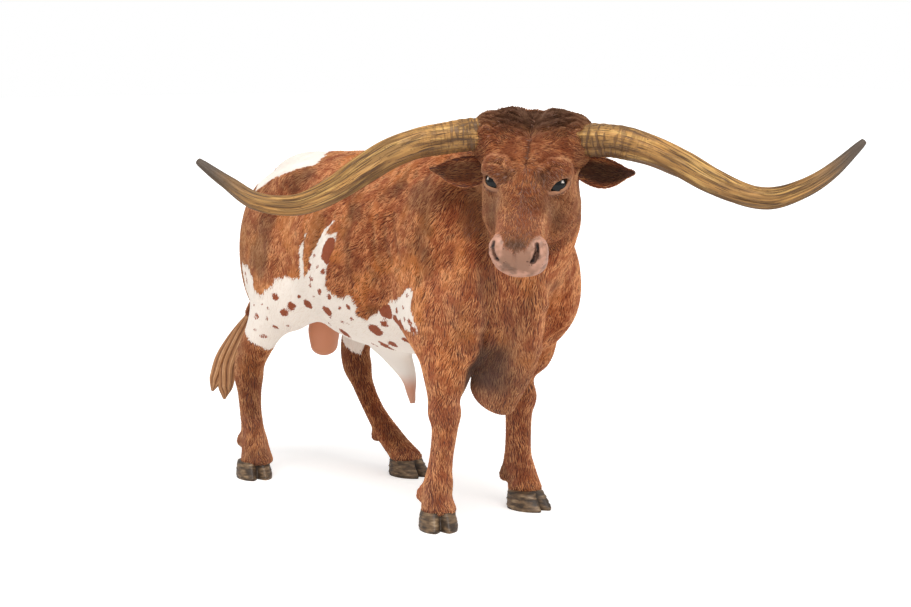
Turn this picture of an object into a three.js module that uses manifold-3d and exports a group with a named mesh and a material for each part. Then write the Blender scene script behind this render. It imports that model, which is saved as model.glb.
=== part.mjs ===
// A Texas longhorn bull: a painted figure moulded in solid plastic, at one twentieth of life size.
// Millimetres, +Z up. The bull faces -Y, its left side is +X, and it stands on the floor at z = 0.
//
// The flesh is one smooth field, negative inside: limbs are spines with an oval section at each station,
// lumps are ellipsoids, and neighbours melt together. The field is meshed piece by piece, each piece with
// its own fineness, and the pieces are parted by thin cuts. Horns, hooves and eyes are separate lofts.
import * as THREE from "three";
import Module from "manifold-3d";

const wasm = await Module();
wasm.setup();

// Driving dimensions
const GAP = 0.3; // between touching pieces
const WITHERS = 75; // floor to the top of the shoulders
const RUMP_END = 47.5; // how far the hindquarters reach behind the middle
const CHEST_END = -44; // and the breast in front of it
const LEG_OUT = 13.8; // each hoof's distance from the middle line
const CORONET = 3.7; // height of a hoof
const HEAD = { poll: [-6.5, -50.3, 82], yaw: -48, lean: 2.2, pitch: 50 };
const LEFT = 1;
const RIGHT = -1;

// Colours of the figure's paint
const PAINT = {
  coat: { color: 0x9a4a22, roughness: 0.62 },
  white: { color: 0xe9e4dc, roughness: 0.6 },
  pink: { color: 0xc79180, roughness: 0.5 },
  horn: { color: 0xb08a4a, roughness: 0.45 },
  hoof: { color: 0x5d5747, roughness: 0.55 },
  eye: { color: 0x101214, roughness: 0.12 },
  tail: { color: 0xb4813f, roughness: 0.6 },
};

// Field shapes

const smoothMin = (a, b, k) => {
  const h = Math.max(k - Math.abs(a - b), 0) / k;
  return Math.min(a, b) - h * h * k * 0.25;
};

// Distance to an oval or squarish body whose radii are 1 in the scaled offsets a, b and c.
const ovalDistance = (length, a, b, c, power) => {
  const r = Math.pow(
    Math.pow(Math.abs(a), power) + Math.pow(Math.abs(b), power) + Math.pow(Math.abs(c), power),
    1 / power,
  );
  return length * (1 - 1 / Math.max(r, 1e-6));
};

// A spine through stations [x, y, z, side, up, down]. The section reaches "side" along the side axis
// and "up" and "down" across it.
function limb(stations, { side = [1, 0, 0], power = 2, cap = 1, steps = 4 } = {}) {
  const line = new THREE.CatmullRomCurve3(
    stations.map((s) => new THREE.Vector3(s[0], s[1], s[2])),
  );
  const girth = new THREE.CatmullRomCurve3(
    stations.map((s) => new THREE.Vector3(s[3], s[4], s[5])),
  );
  const count = (stations.length - 1) * steps;
  const sideAxis = new THREE.Vector3(...side);
  const knots = [];
  for (let i = 0; i <= count; i++) {
    const t = i / count;
    const tangent = line.getTangent(t);
    const s = sideAxis.clone().addScaledVector(tangent, -sideAxis.dot(tangent)).normalize();
    const up = s.clone().cross(tangent);
    knots.push({ p: line.getPoint(t), g: girth.getPoint(t), tangent, s, up });
  }
  const reach = Math.max(...stations.flatMap((s) => s.slice(3)));
  const bounds = new THREE.Box3().setFromPoints(knots.map((k) => k.p)).expandByScalar(reach);
  const d = new THREE.Vector3();
  const ab = new THREE.Vector3();
  const mix = (u, v, t) => u + (v - u) * t;
  return {
    bounds,
    at(p) {
      let best = Infinity;
      let where = 0;
      let share = 0;
      for (let i = 0; i < count; i++) {
        ab.subVectors(knots[i + 1].p, knots[i].p);
        d.subVectors(p, knots[i].p);
        const t = THREE.MathUtils.clamp(d.dot(ab) / ab.lengthSq(), 0, 1);
        const away = d.addScaledVector(ab, -t).lengthSq();
        if (away < best) {
          best = away;
          where = i;
          share = t;
        }
      }
      const k0 = knots[where];
      const k1 = knots[where + 1];
      ab.lerpVectors(k0.p, k1.p, share);
      d.subVectors(p, ab);
      const across = mix(d.dot(k0.s), d.dot(k1.s), share);
      const rise = mix(d.dot(k0.up), d.dot(k1.up), share);
      const along = mix(d.dot(k0.tangent), d.dot(k1.tangent), share);
      const wide = mix(k0.g.x, k1.g.x, share);
      const tall = rise > 0 ? mix(k0.g.y, k1.g.y, share) : mix(k0.g.z, k1.g.z, share);
      const end = Math.min(wide, tall) * cap;
      return ovalDistance(d.length(), across / wide, rise / tall, along / end, power);
    },
  };
}

// An ellipsoid turned by [about X, about Y, about Z] degrees.
function lump(centre, radii, turn = [0, 0, 0], power = 2) {
  const c = new THREE.Vector3(...centre);
  const back = new THREE.Quaternion()
    .setFromEuler(new THREE.Euler(...turn.map(THREE.MathUtils.degToRad), "ZYX"))
    .invert();
  const reach = Math.max(...radii);
  const d = new THREE.Vector3();
  return {
    bounds: new THREE.Box3().setFromPoints([c]).expandByScalar(reach),
    at(p) {
      d.subVectors(p, c).applyQuaternion(back);
      return ovalDistance(d.length(), d.x / radii[0], d.y / radii[1], d.z / radii[2], power);
    },
  };
}

// The same shape in another frame.
function placed(shape, matrix) {
  const back = matrix.clone().invert();
  const q = new THREE.Vector3();
  return {
    bounds: shape.bounds.clone().applyMatrix4(matrix),
    at: (p) => shape.at(q.copy(p).applyMatrix4(back)),
  };
}

// A body melts its shapes together in order. Each item is { shape, blend } or { shape, carve }.
function melt(items) {
  const bounds = new THREE.Box3();
  items.filter((i) => !i.carve).forEach((i) => bounds.union(i.shape.bounds));
  const margin = 9;
  const near = items.map((i) => i.shape.bounds.clone().expandByScalar(margin));
  return {
    bounds,
    at(p) {
      let value = Infinity;
      items.forEach(({ shape, blend = 1, carve }, i) => {
        if (!near[i].containsPoint(p)) {
          if (!carve) value = Math.min(value, margin + near[i].distanceToPoint(p));
          return;
        }
        const d = shape.at(p);
        value = carve ? -smoothMin(-value, d, carve) : smoothMin(value, d, blend);
      });
      return value;
    },
  };
}

// The bull's flesh

const mirrored = (stations, side) => stations.map(([x, ...rest]) => [x * side, ...rest]);

// The left foreleg is set back and the right one takes the weight, so the shoulders differ.
const SHOULDER = {
  [LEFT]: { z: 54, y: -29.5, blade: [4.4, 8.5, 13], arm: [5.4, 8.5, 9] },
  [RIGHT]: { z: 56, y: -26, blade: [5, 8.5, 15], arm: [4.8, 8.5, 9] },
};

const torso = () => [
  {
    shape: limb(
      [
        [0, CHEST_END + 8, 51, 10.5, 15, 14.5],
        [0, -28, 52.5, 14, 20.5, 19],
        [0, -16, 52.5, 16, WITHERS - 53, 20],
        [0, -4, 51.5, 17.2, 20.6, 19.8],
        [0, 8, 51.5, 17.4, 20.9, 19.3],
        [0, 20, 53, 16, 20.9, 16.8],
        [0, 30, 55.2, 13.8, 18, 14.5],
        [0, 37, 55.6, 11.8, 15.6, 13.6],
        [0, RUMP_END - 5.5, 55, 9.3, 12.6, 11.6],
      ],
      { power: 2.25, cap: 0.55 },
    ),
  },
  { shape: lump([0, -21, 67], [6.5, 12, 8.5]), blend: 8 },
  { shape: lump([0, 39, 66.5], [3.2, 8, 3.6], [-20, 0, 0]), blend: 6 },
  ...[LEFT, RIGHT].flatMap((s) => [
    { shape: lump([s * 11.5, -26, SHOULDER[s].z], SHOULDER[s].blade, [14, 0, s * 6]), blend: 5 },
    { shape: lump([s * 10.5, -37, 48.5], [5, 5.5, 9]), blend: 6 },
    { shape: lump([s * 12.2, SHOULDER[s].y, 43.5], SHOULDER[s].arm), blend: 5 },
    { shape: lump([s * 10.8, 25, 66.5], [3.6, 4.6, 3.4]), blend: 5 },
    { shape: lump([s * 9.8, 35, 50.5], [6.3, 10.5, 16]), blend: 6 },
    { shape: lump([s * 12, 27, 44], [5, 8, 10], [-20, 0, 0]), blend: 6 },
    { shape: lump([s * 4.8, 44, 59.5], [3.2, 3, 4]), blend: 4 },
  ]),
];

const neck = () => [
  {
    shape: limb(
      [
        [0, -24, 56, 11, 16, 15],
        [-0.5, -35, 60.5, 9.6, 14.5, 16],
        [-1.6, -42.5, 66, 9.6, 11.8, 13.5],
        [-5.2, -46.5, 73.5, 7.4, 8, 9.5],
      ],
      { side: [-1, 0, 0] },
    ),
    blend: 8,
  },
];

const dewlap = () => [
  {
    shape: limb(
      [
        [-9, -50.5, 63, 3.2, 4, 3],
        [-5.2, -46.5, 55, 3.8, 6, 4],
        [-3.6, -43, 46, 4, 8, 7],
        [-2.9, -38, 37, 3.8, 8.4, 9],
        [-2.9, -34.6, 27.4, 3.2, 6.2, 7.2],
      ],
      { side: [1, 0, 0], cap: 1.1 },
    ),
    blend: 4,
  },
];

const scrotum = () => [
  {
    shape: limb(
      [
        [0, 28.5, 43, 2.6, 2.6, 2.6],
        [0, 29.6, 38, 2.8, 2.6, 2.6],
        [0, 30.3, 33, 3.8, 3.3, 3.3],
        [0, 30.3, 29.6, 3.3, 2.9, 2.9],
      ],
      { cap: 0.9 },
    ),
    blend: 2,
  },
];

const sheath = () => [
  {
    shape: limb(
      [
        [0, 9, 33.6, 2, 3.5, 3.5],
        [0, 4, 31, 2, 3.4, 3.4],
        [0, 0, 28, 1.9, 2.7, 2.9],
        [0, -1.8, 24.4, 1.6, 1.7, 1.7],
        [0, -2.6, 21.2, 1.35, 1.35, 1.35],
      ],
      { cap: 1.2 },
    ),
    blend: 3,
  },
];

const tail = () => [
  {
    shape: limb(
      [
        [0, 41.5, 68.2, 2.8, 2.8, 2.8],
        [0, 46.2, 66.2, 2.5, 2.5, 2.5],
        [0, 48.9, 61.5, 2.1, 2.1, 2.1],
        [-0.5, 49.7, 54, 1.9, 1.9, 1.9],
        [-1.9, 49.6, 46, 1.7, 1.7, 1.7],
        [-3.8, 50.2, 39.5, 1.7, 1.7, 1.7],
        [-5.1, 51.3, 35, 2, 2, 2],
      ],
    ),
    blend: 1,
  },
];

const DEWCLAW = [1.15, 1.15, 1.7];
const sideways = (degrees) => {
  const a = THREE.MathUtils.degToRad(degrees);
  return [Math.cos(a), Math.sin(a), 0];
};

// A leg's spine runs from the body down to the coronet: [x, y, z, side, back, front].
const frontLeg = (side, hoof) => [
  {
    shape: limb(
      mirrored(
        [
          [11.8, -26, 46, 4.4, 7, 6],
          [12, -27.2, 39, 4.5, 5.8, 5.2],
          [12.4, -28.4, 32.5, 3.6, 4.2, 3.9],
          [12.8, -29.2, 26.4, 3, 3.2, 3.2],
          [13, -29.6, 23.4, 3.3, 3.3, 3.5],
          [13, -29.3, 20, 2.5, 3.2, 2.8],
          [13.1, -29.1, 15, 2.2, 3.3, 2.7],
          [13.2, -29, 11.4, 2.4, 3.5, 2.6],
          [13.3, -29, 9, 2.9, 3.8, 2.8],
          [LEG_OUT, -29.4, 6.4, 3, 3.4, 3],
          [LEG_OUT, -30.2, 3, 3.7, 3.6, 3.9],
        ].map(([x, y, z, ...girth]) => {
          const share = Math.min(1, (46 - z) / 19);
          const shaft = Math.max(0, 1 - Math.abs(z - 20) / 15);
          return [x - hoof.inward * shaft, y + hoof.step * share - hoof.inward * 0.7 * shaft, z, ...girth];
        }),
        side,
      ),
      { side: sideways(hoof.yaw * 0.7) },
    ),
    blend: 3,
  },
  ...[-1.5, 1.5].map((x) => ({
    shape: lump([side * 13.3 + x, -25 + hoof.step, 6.9], DEWCLAW, [30, 0, 0]),
    blend: 1,
  })),
];

const hindLeg = (side, hoof) => [
  {
    shape: limb(
      mirrored(
        [
          [12, 27, 45, 4.6, 8, 7],
          [12.8, 31.5, 38, 4.1, 6.2, 5.6],
          [13.5, 36.4, 31, 3.1, 4.2, 4],
          [13.9, 39.2, 26, 2.9, 4.1, 3.3],
          [14, 39.8, 22.6, 3, 3.6, 3.2],
          [14, 39.6, 19, 2.4, 2.8, 2.6],
          [14, 39.2, 14.5, 2.2, 2.5, 2.3],
          [14, 38.6, 11, 2.4, 2.7, 2.6],
          [14, 38.2, 8.8, 2.8, 3, 3],
          [14, 37.5, 6.4, 3, 3, 3.2],
          [14, 37, 3.4, 3.7, 3.6, 4],
        ].map(([x, y, z, wide, back, front]) => {
          const slim = z < 22 ? hoof.slim : 1;
          return [x, y + hoof.step * hoof.swing(z), z, wide, back * slim, front * slim * slim];
        }),
        side,
      ),
    ),
    blend: 3,
  },
  ...[-1.5, 1.5].map((x) => ({
    shape: lump(
      [side * 14 + x, 41.6 + hoof.step * hoof.swing(8.3), 8.1],
      DEWCLAW,
      [30, 0, 0],
    ),
    blend: 1,
  })),
];

// The head is shaped facing -Y with its forehead up, its poll at the origin, then placed.
const rotation = (axis, degrees) =>
  new THREE.Matrix4().makeRotationAxis(new THREE.Vector3(...axis), THREE.MathUtils.degToRad(degrees));
const levelFrame = new THREE.Matrix4()
  .makeTranslation(...HEAD.poll)
  .multiply(rotation([0, 0, 1], HEAD.yaw));
const headFrame = levelFrame
  .clone()
  .multiply(rotation([0, 1, 0], HEAD.lean))
  .multiply(rotation([1, 0, 0], HEAD.pitch));

const EYE = { at: [5.6, -12.1, -3.4], radius: 2.3 };

const skull = () => [
  {
    shape: limb(
      [
        [0, 3, -5.5, 7.5, 4.6, 6],
        [0, -1.5, -5.5, 9.4, 5.3, 8],
        [0, -6.5, -6, 8.9, 5.9, 9],
        [0, -11, -6.2, 8, 6.2, 9.4],
        [0, -15.5, -5.9, 6.6, 5.5, 8.4],
        [0, -20, -5.8, 5.2, 4.7, 6.4],
        [0, -24.5, -5.8, 4.7, 4.2, 4.8],
        [0, -27, -5.8, 4.9, 3.9, 4.2],
      ],
      { side: [-1, 0, 0], power: 2.5, cap: 0.6 },
    ),
  },
  { shape: lump([0, -27.8, -5.4], [6, 2.8, 4.1], [-14, 0, 0], 2.3), blend: 1.6 },
  { shape: lump([0, -26, -9], [4, 3.4, 2]), blend: 1.4 },
  ...[LEFT, RIGHT].flatMap((s) => [
    { shape: lump([s * 6.6, -10, -2.1], [2, 2.6, 2], [0, s * 35, 0]), blend: 2 },
    { shape: lump([s * 5.2, -12.5, -10.8], [4, 8.2, 4.8]), blend: 3.5 },
    { shape: lump([s * 4.3, -27, -3.2], [1.8, 2.2, 2.1]), blend: 1.3 },
    { shape: lump([s * 8.6, -1.6, -3.8], [3.4, 4.2, 4.2]), blend: 3 },
    { shape: lump([s * 4.2, -29.6, -4.4], [0.75, 1.7, 1.6], [0, s * 18, 0]), carve: 0.6 },
    { shape: lump([s * 4.2, 0.2, -0.3], [5, 3.2, 1.6]), blend: 2 },
  ]),
];

const head = () =>
  skull().map((item) => ({ ...item, shape: placed(item.shape, headFrame) }));

// Meshing

// A closed surface where the field is zero. Each sheet of surface that passes through a cell of the
// grid gets one point there, and every grid edge that it crosses gets one four-sided face.
const STEPS = [[1, 0, 0], [0, 1, 0], [0, 0, 1]];
const CORNERS = [0, 1, 2, 3, 4, 5, 6, 7].map((c) => [c & 1, (c >> 1) & 1, c >> 2]);
const EDGES = [0, 1, 2].flatMap((axis) =>
  CORNERS.map((_, c) => [c, c | (1 << axis), axis]).filter(([from, to]) => from !== to),
);
const SIDES = [0, 1, 2].flatMap((axis) =>
  [0, 1].map((end) => {
    const on = (c) => ((c >> axis) & 1) === end;
    return EDGES.map((_, e) => e).filter((e) => on(EDGES[e][0]) && on(EDGES[e][1]));
  }),
);

// Which sheet each crossed edge of a cell belongs to, as the number of one edge of that sheet.
function sheetsOf(inside) {
  const sheet = EDGES.map(([from, to], e) => (inside[from] === inside[to] ? -1 : e));
  const join = (e, f) => {
    const [keep, drop] = [sheet[e], sheet[f]];
    sheet.forEach((s, i) => {
      if (s === drop) sheet[i] = keep;
    });
  };
  for (const side of SIDES) {
    const crossed = side.filter((e) => sheet[e] >= 0);
    if (crossed.length === 2) join(...crossed);
    if (crossed.length < 4) continue;
    for (const e of crossed)
      for (const f of crossed) {
        const shared = EDGES[e].slice(0, 2).filter((c) => EDGES[f].slice(0, 2).includes(c));
        if (e < f && shared.length && inside[shared[0]]) join(e, f);
      }
  }
  return sheet;
}

function surfaceOf(body, box, cell) {
  const size = STEPS.map((_, a) => {
    const span = box.max.getComponent(a) - box.min.getComponent(a);
    return Math.ceil(span / cell) + 1;
  });
  const at = (i, j, k) => i + size[0] * (j + size[1] * k);
  const values = new Float32Array(size[0] * size[1] * size[2]);
  const everyCell = (low, visit) => {
    for (let k = low; k < size[2] - 1; k++)
      for (let j = low; j < size[1] - 1; j++) for (let i = low; i < size[0] - 1; i++) visit(i, j, k);
  };
  values.fill(cell);
  const p = new THREE.Vector3();
  everyCell(1, (i, j, k) => {
    values[at(i, j, k)] = body.at(p.set(i, j, k).multiplyScalar(cell).add(box.min));
  });

  const points = [];
  const pointOf = new Map();
  everyCell(0, (i, j, k) => {
    const v = CORNERS.map(([a, b, c]) => values[at(i + a, j + b, k + c)]);
    const inside = v.map((value) => value < 0);
    if (inside.every((yes) => yes === inside[0])) return;
    const sheet = sheetsOf(inside);
    for (const s of new Set(sheet.filter((e) => e >= 0))) {
      const sum = new THREE.Vector3();
      const crossed = EDGES.filter((_, e) => sheet[e] === s);
      for (const [from, to, axis] of crossed) {
        sum.add(p.fromArray(CORNERS[from]));
        sum.addScaledVector(p.fromArray(STEPS[axis]), v[from] / (v[from] - v[to]));
      }
      sum.divideScalar(crossed.length).add(p.set(i, j, k)).multiplyScalar(cell).add(box.min);
      EDGES.forEach((_, e) => {
        if (sheet[e] === s) pointOf.set(at(i, j, k) * 12 + e, points.length);
      });
      points.push(sum);
    }
  });

  const faces = [];
  everyCell(0, (i, j, k) =>
    STEPS.forEach((step, axis) => {
      if ([i, j, k].some((index, a) => a !== axis && index === 0)) return;
      const here = values[at(i, j, k)] < 0;
      if (here === values[at(i + step[0], j + step[1], k + step[2])] < 0) return;
      const [u, w] = [(axis + 1) % 3, (axis + 2) % 3];
      const ring = [[0, 0], [1, 0], [1, 1], [0, 1]].map(([a, b]) => {
        const c = [i, j, k];
        c[u] -= a;
        c[w] -= b;
        const from = (a << u) | (b << w);
        const edge = EDGES.findIndex((e) => e[0] === from && e[2] === axis);
        return pointOf.get(at(...c) * 12 + edge);
      });
      if (!here) ring.reverse();
      const [q0, q1, q2, q3] = ring;
      const even = points[q0].distanceTo(points[q2]) < points[q1].distanceTo(points[q3]);
      faces.push(...(even ? [q0, q1, q2, q0, q2, q3] : [q1, q2, q3, q1, q3, q0]));
    }),
  );
  points.forEach((q) => drawOnto(body, q, cell));
  return meshGeometry(points, faces);
}

// Moves a point along the field's slope to where the field is zero.
function drawOnto(body, point, cell) {
  const h = cell * 0.1;
  const start = point.clone();
  const slope = new THREE.Vector3();
  const probe = new THREE.Vector3();
  for (let round = 0; round < 3; round++) {
    const value = body.at(point);
    ["x", "y", "z"].forEach((axis) => {
      probe.copy(point)[axis] += h;
      slope[axis] = (body.at(probe) - value) / h;
    });
    const steep = Math.max(slope.lengthSq(), 0.2);
    point.addScaledVector(slope, -value / steep);
  }
  const moved = point.clone().sub(start).clampLength(0, cell * 0.4);
  point.copy(start).add(moved);
}

function meshGeometry(points, faces) {
  const geometry = new THREE.BufferGeometry().setFromPoints(points);
  geometry.setIndex(faces);
  return geometry;
}

// A closed skin over rings of equally many points, capped at both ends.
function loft(rings) {
  const count = rings[0].length;
  const points = rings.flat();
  const faces = [];
  for (let r = 0; r < rings.length - 1; r++)
    for (let i = 0; i < count; i++) {
      const a = r * count + i;
      const b = r * count + ((i + 1) % count);
      faces.push(a, b, b + count, a, b + count, a + count);
    }
  [0, rings.length - 1].forEach((r, last) => {
    const middle = rings[r]
      .reduce((sum, p) => sum.add(p), new THREE.Vector3())
      .divideScalar(count);
    points.push(middle);
    for (let i = 0; i < count; i++) {
      const a = r * count + i;
      const b = r * count + ((i + 1) % count);
      faces.push(...(last ? [a, b, points.length - 1] : [b, a, points.length - 1]));
    }
  });
  return meshGeometry(points, faces);
}

// Solids

const solid = (geometry) => {
  const made = new wasm.Manifold(
    new wasm.Mesh({
      numProp: 3,
      vertProperties: new Float32Array(geometry.getAttribute("position").array),
      triVerts: new Uint32Array(geometry.index.array),
    }),
  );
  return made;
};

const geometryOf = (body) => {
  const mesh = body.getMesh();
  const geometry = new THREE.BufferGeometry();
  geometry.setAttribute("position", new THREE.BufferAttribute(mesh.vertProperties, 3));
  geometry.setIndex(new THREE.BufferAttribute(mesh.triVerts, 1));
  return geometry;
};

// Only the largest closed body of a cut is kept.
const largest = (body) =>
  body.decompose().reduce((best, next) => (next.volume() > best.volume() ? next : best));

// A block of one size about a middle point, in a frame.
function block(size, middle, frame = new THREE.Matrix4()) {
  const box = new THREE.BoxGeometry(...size);
  ["normal", "uv"].forEach((name) => box.deleteAttribute(name));
  const corners = [];
  const index = [];
  const position = box.getAttribute("position");
  for (let i = 0; i < box.index.count; i++) {
    const p = new THREE.Vector3().fromBufferAttribute(position, box.index.getX(i));
    const found = corners.findIndex((c) => c.distanceTo(p) < 1e-6);
    index.push(found < 0 ? corners.push(p) - 1 : found);
  }
  corners.forEach((c) => c.add(new THREE.Vector3(...middle)).applyMatrix4(frame));
  return solid(meshGeometry(corners, index));
}

// Horns

// Stations from the poll: [out to the side, forward, up, radius]. The two sweeps are not quite alike.
const HORN = {
  [LEFT]: [
    [8.6, -0.4, -3.4, 3.2],
    [11.2, 0, -3.4, 3.25],
    [17.1, 1.1, -3.6, 3.23],
    [23.1, 3, -5, 3.08],
    [29, 5.2, -7.4, 2.99],
    [34.9, 7.4, -10.4, 2.71],
    [40.6, 9.2, -12.7, 2.41],
    [46.3, 10.4, -13.4, 2.2],
    [51.8, 11, -11.5, 1.84],
    [57.3, 10.1, -7.9, 1.4],
    [61.6, 9.2, -3.8, 0.7],
    [62.7, 9, -2.6, 0.37],
  ],
  [RIGHT]: [
    [8.6, -0.4, -2.6, 3.15],
    [11.2, 0, -2.6, 3.15],
    [15.9, 1.1, -3, 3.18],
    [21.4, 3, -3.9, 3.17],
    [26.9, 5.2, -6, 3.07],
    [32, 7.2, -9.3, 2.92],
    [37.6, 9.2, -13.1, 2.68],
    [44.4, 10.4, -15.7, 2.29],
    [51.8, 11, -15, 1.95],
    [57.6, 10.1, -11.9, 1.5],
    [63, 9.2, -8.3, 0.75],
    [64.1, 9, -7.5, 0.39],
  ],
};

function tube(stations, sides, steps, swell = 0) {
  const line = new THREE.CatmullRomCurve3(stations.map((s) => new THREE.Vector3(s[0], s[1], s[2])));
  const girth = new THREE.CatmullRomCurve3(stations.map((s) => new THREE.Vector3(s[3], 0, 0)));
  const count = (stations.length - 1) * steps;
  const rings = [];
  for (let i = 0; i <= count; i++) {
    const t = i / count;
    const tangent = line.getTangent(t);
    const s = new THREE.Vector3(0, 0, 1).addScaledVector(tangent, -tangent.z).normalize();
    const u = tangent.clone().cross(s);
    const radius = girth.getPoint(t).x + swell;
    rings.push(
      Array.from({ length: sides }, (_, j) => {
        const a = (j / sides) * Math.PI * 2;
        return line
          .getPoint(t)
          .addScaledVector(s, radius * Math.cos(a))
          .addScaledVector(u, radius * Math.sin(a));
      }),
    );
  }
  return loft(rings);
}

function horn(side, swell = 0) {
  const stations = HORN[side].map(([out, forward, up, radius], i) => {
    const deeper = i === 0 ? swell : 0;
    return [side * (out - deeper), -forward, up, radius];
  });
  return solid(tube(stations, 10, 2, swell).applyMatrix4(levelFrame));
}

// Eyes

function eye(side, swell = 0) {
  const ball = new THREE.SphereGeometry(EYE.radius + swell, 12, 8);
  const at = new THREE.Matrix4().makeTranslation(side * EYE.at[0], EYE.at[1], EYE.at[2]);
  ["normal", "uv"].forEach((name) => ball.deleteAttribute(name));
  return solid(weld(ball).applyMatrix4(at).applyMatrix4(headFrame));
}

function weld(geometry) {
  const points = [];
  const index = [];
  const position = geometry.getAttribute("position");
  const seen = new Map();
  for (let i = 0; i < geometry.index.count; i++) {
    const p = new THREE.Vector3().fromBufferAttribute(position, geometry.index.getX(i));
    const key = p.toArray().map((v) => Math.round(v * 1e4)).join();
    if (!seen.has(key)) seen.set(key, points.push(p) - 1);
    index.push(seen.get(key));
  }
  const faces = [];
  for (let i = 0; i < index.length; i += 3) {
    const [a, b, c] = index.slice(i, i + 3);
    if (a !== b && b !== c && a !== c) faces.push(a, b, c);
  }
  return meshGeometry(points, faces);
}

// Hooves: a cloven block, flat underneath, smaller at the coronet.

function hoof(x, y, yaw) {
  const around = 24;
  const levels = [
    { z: 0, wide: 3.8, long: 5, cleft: 0.5, back: 0 },
    { z: 0.5, wide: 4, long: 5.2, cleft: 0.5, back: 0 },
    { z: 2.1, wide: 3.85, long: 4.6, cleft: 0.42, back: 0.6 },
    { z: CORONET, wide: 3.5, long: 3.9, cleft: 0.2, back: 1.1 },
  ];
  const turn = new THREE.Matrix4()
    .makeRotationZ(THREE.MathUtils.degToRad(yaw))
    .setPosition(x, y, 0);
  const rings = levels.map(({ z, wide, long, cleft, back }) =>
    Array.from({ length: around }, (_, i) => {
      const a = (i / around) * Math.PI * 2;
      const front = Math.max(0, 1 - Math.abs(a - Math.PI * 1.5) / 0.3);
      const heel = Math.max(0, 1 - Math.abs(a - Math.PI * 0.5) / 0.3);
      const r = 1 - cleft * front - 0.25 * heel;
      return new THREE.Vector3(
        wide * r * Math.sign(Math.cos(a)) * Math.pow(Math.abs(Math.cos(a)), 0.85),
        long * r * Math.sin(a) + back,
        z,
      ).applyMatrix4(turn);
    }),
  );
  return solid(loft(rings));
}

const HOOVES = {
  front_right: { x: -LEG_OUT - 0.6, y: -30.8, yaw: -28, step: 0, inward: 0.9 },
  front_left: { x: LEG_OUT - 1.2, y: -26.8, yaw: 6, step: 6.2, inward: 0.2 },
  hind_right: { x: -14.8, y: 36.8, yaw: -18, step: 0, slim: 1 },
  hind_left: { x: 14, y: 17.2, yaw: 4, step: -18.5, slim: 0.8 },
};
HOOVES.hind_right.swing = () => 0;
HOOVES.hind_left.swing = (z) => Math.pow(Math.max(0, 40 - z) / 36, 2.6);

// Ears: a leaf standing on edge, cupped towards the front.

function ear(side, swell = 0) {
  const LENGTH = 11.4;
  const around = 12;
  const level = side > 0 ? -8.7 : -9.2;
  const rings = [0, 0.12, 0.3, 0.5, 0.68, 0.83, 0.94, 1].map((t, i, all) => {
    const swelling = 1.9 + 1.5 * Math.sin(Math.PI * Math.min(1, t * 1.25)) - 1.5 * t;
    const tall = i === all.length - 1 ? swelling / 4 : swelling;
    const cup = 1.7 * Math.sin(Math.PI * Math.min(1, t + 0.12));
    const thick = 0.55 + 0.5 * (1 - t) + swell;
    return Array.from({ length: around }, (_, j) => {
      const a = (j / around) * Math.PI * 2;
      const high = Math.cos(a) * (tall + swell);
      const bent = cup * (1 - Math.pow(Math.cos(a), 2));
      return new THREE.Vector3(
        side * (8.4 + LENGTH * t - (i === 0 ? swell : 0)),
        1.2 - 2.2 * t + bent + thick * Math.sin(a),
        level - 0.8 * t - 0.6 * Math.sin(Math.PI * t) + high,
      );
    });
  });
  const leaf = loft(rings);
  const body = solid(side > 0 ? flipped(leaf) : leaf);
  return body.transform(levelFrame.toArray());
}

function flipped(geometry) {
  const index = Array.from(geometry.index.array);
  for (let i = 0; i < index.length; i += 3) [index[i], index[i + 1]] = [index[i + 1], index[i]];
  geometry.setIndex(index);
  return geometry;
}

// Tail switch: a few locks that part towards their points.

const TAIL_SEAM = 34;

function tailSwitch() {
  const root = [-5.2, 51.4, 34.8];
  const locks = [
    { to: [-13, 57.3, 16.8], bow: [-0.4, 1.8, 0], wide: 1.9 },
    { to: [-10.9, 55.5, 14.9], bow: [-1, 1.4, 0], wide: 2.1 },
    { to: [-8.6, 54.4, 19.5], bow: [-0.6, 1.1, 0], wide: 1.8 },
  ];
  return locks
    .map(({ to, bow, wide }) => {
      const stations = [0, 0.3, 0.6, 0.85, 1].map((t) => [
        ...root.map((v, a) => v + (to[a] - v) * t + bow[a] * Math.sin(Math.PI * t)),
        Math.max(0.25, wide * (0.65 + 0.55 * t) * (1 - Math.pow(t, 7))),
      ]);
      return solid(tube(stations, 8, 2));
    })
    .reduce((all, lock) => all.add(lock));
}

// Assembly

const flesh = [
  ...torso(),
  ...neck(),
  ...dewlap(),
  ...frontLeg(RIGHT, HOOVES.front_right),
  ...frontLeg(LEFT, HOOVES.front_left),
  ...hindLeg(RIGHT, HOOVES.hind_right),
  ...hindLeg(LEFT, HOOVES.hind_left),
  ...head(),
  ...scrotum(),
  ...sheath(),
];
const bull = melt(flesh);
const around = (low, high) => new THREE.Box3(new THREE.Vector3(...low), new THREE.Vector3(...high));

// The seams. A region is a block, in the bull's frame or the head's, trimmed by sloping planes; it is
// cut from its neighbours a little larger than itself, which leaves the gap.

const slope = (at, to) => ({ at: new THREE.Vector3(...at), to: new THREE.Vector3(...to).normalize() });

function region({ low, high, slopes = [], frame = new THREE.Matrix4() }, grow = 0) {
  const size = high.map((v, a) => v - low[a] + grow * 2);
  const middle = high.map((v, a) => (v + low[a]) / 2);
  return slopes.reduce((body, { at, to }) => {
    const [p, tip] = [at, at.clone().add(to)].map((v) => v.clone().applyMatrix4(frame));
    const direction = tip.sub(p);
    return body.trimByPlane(direction.toArray(), direction.dot(p) - grow);
  }, block(size, middle, frame));
}

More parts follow.
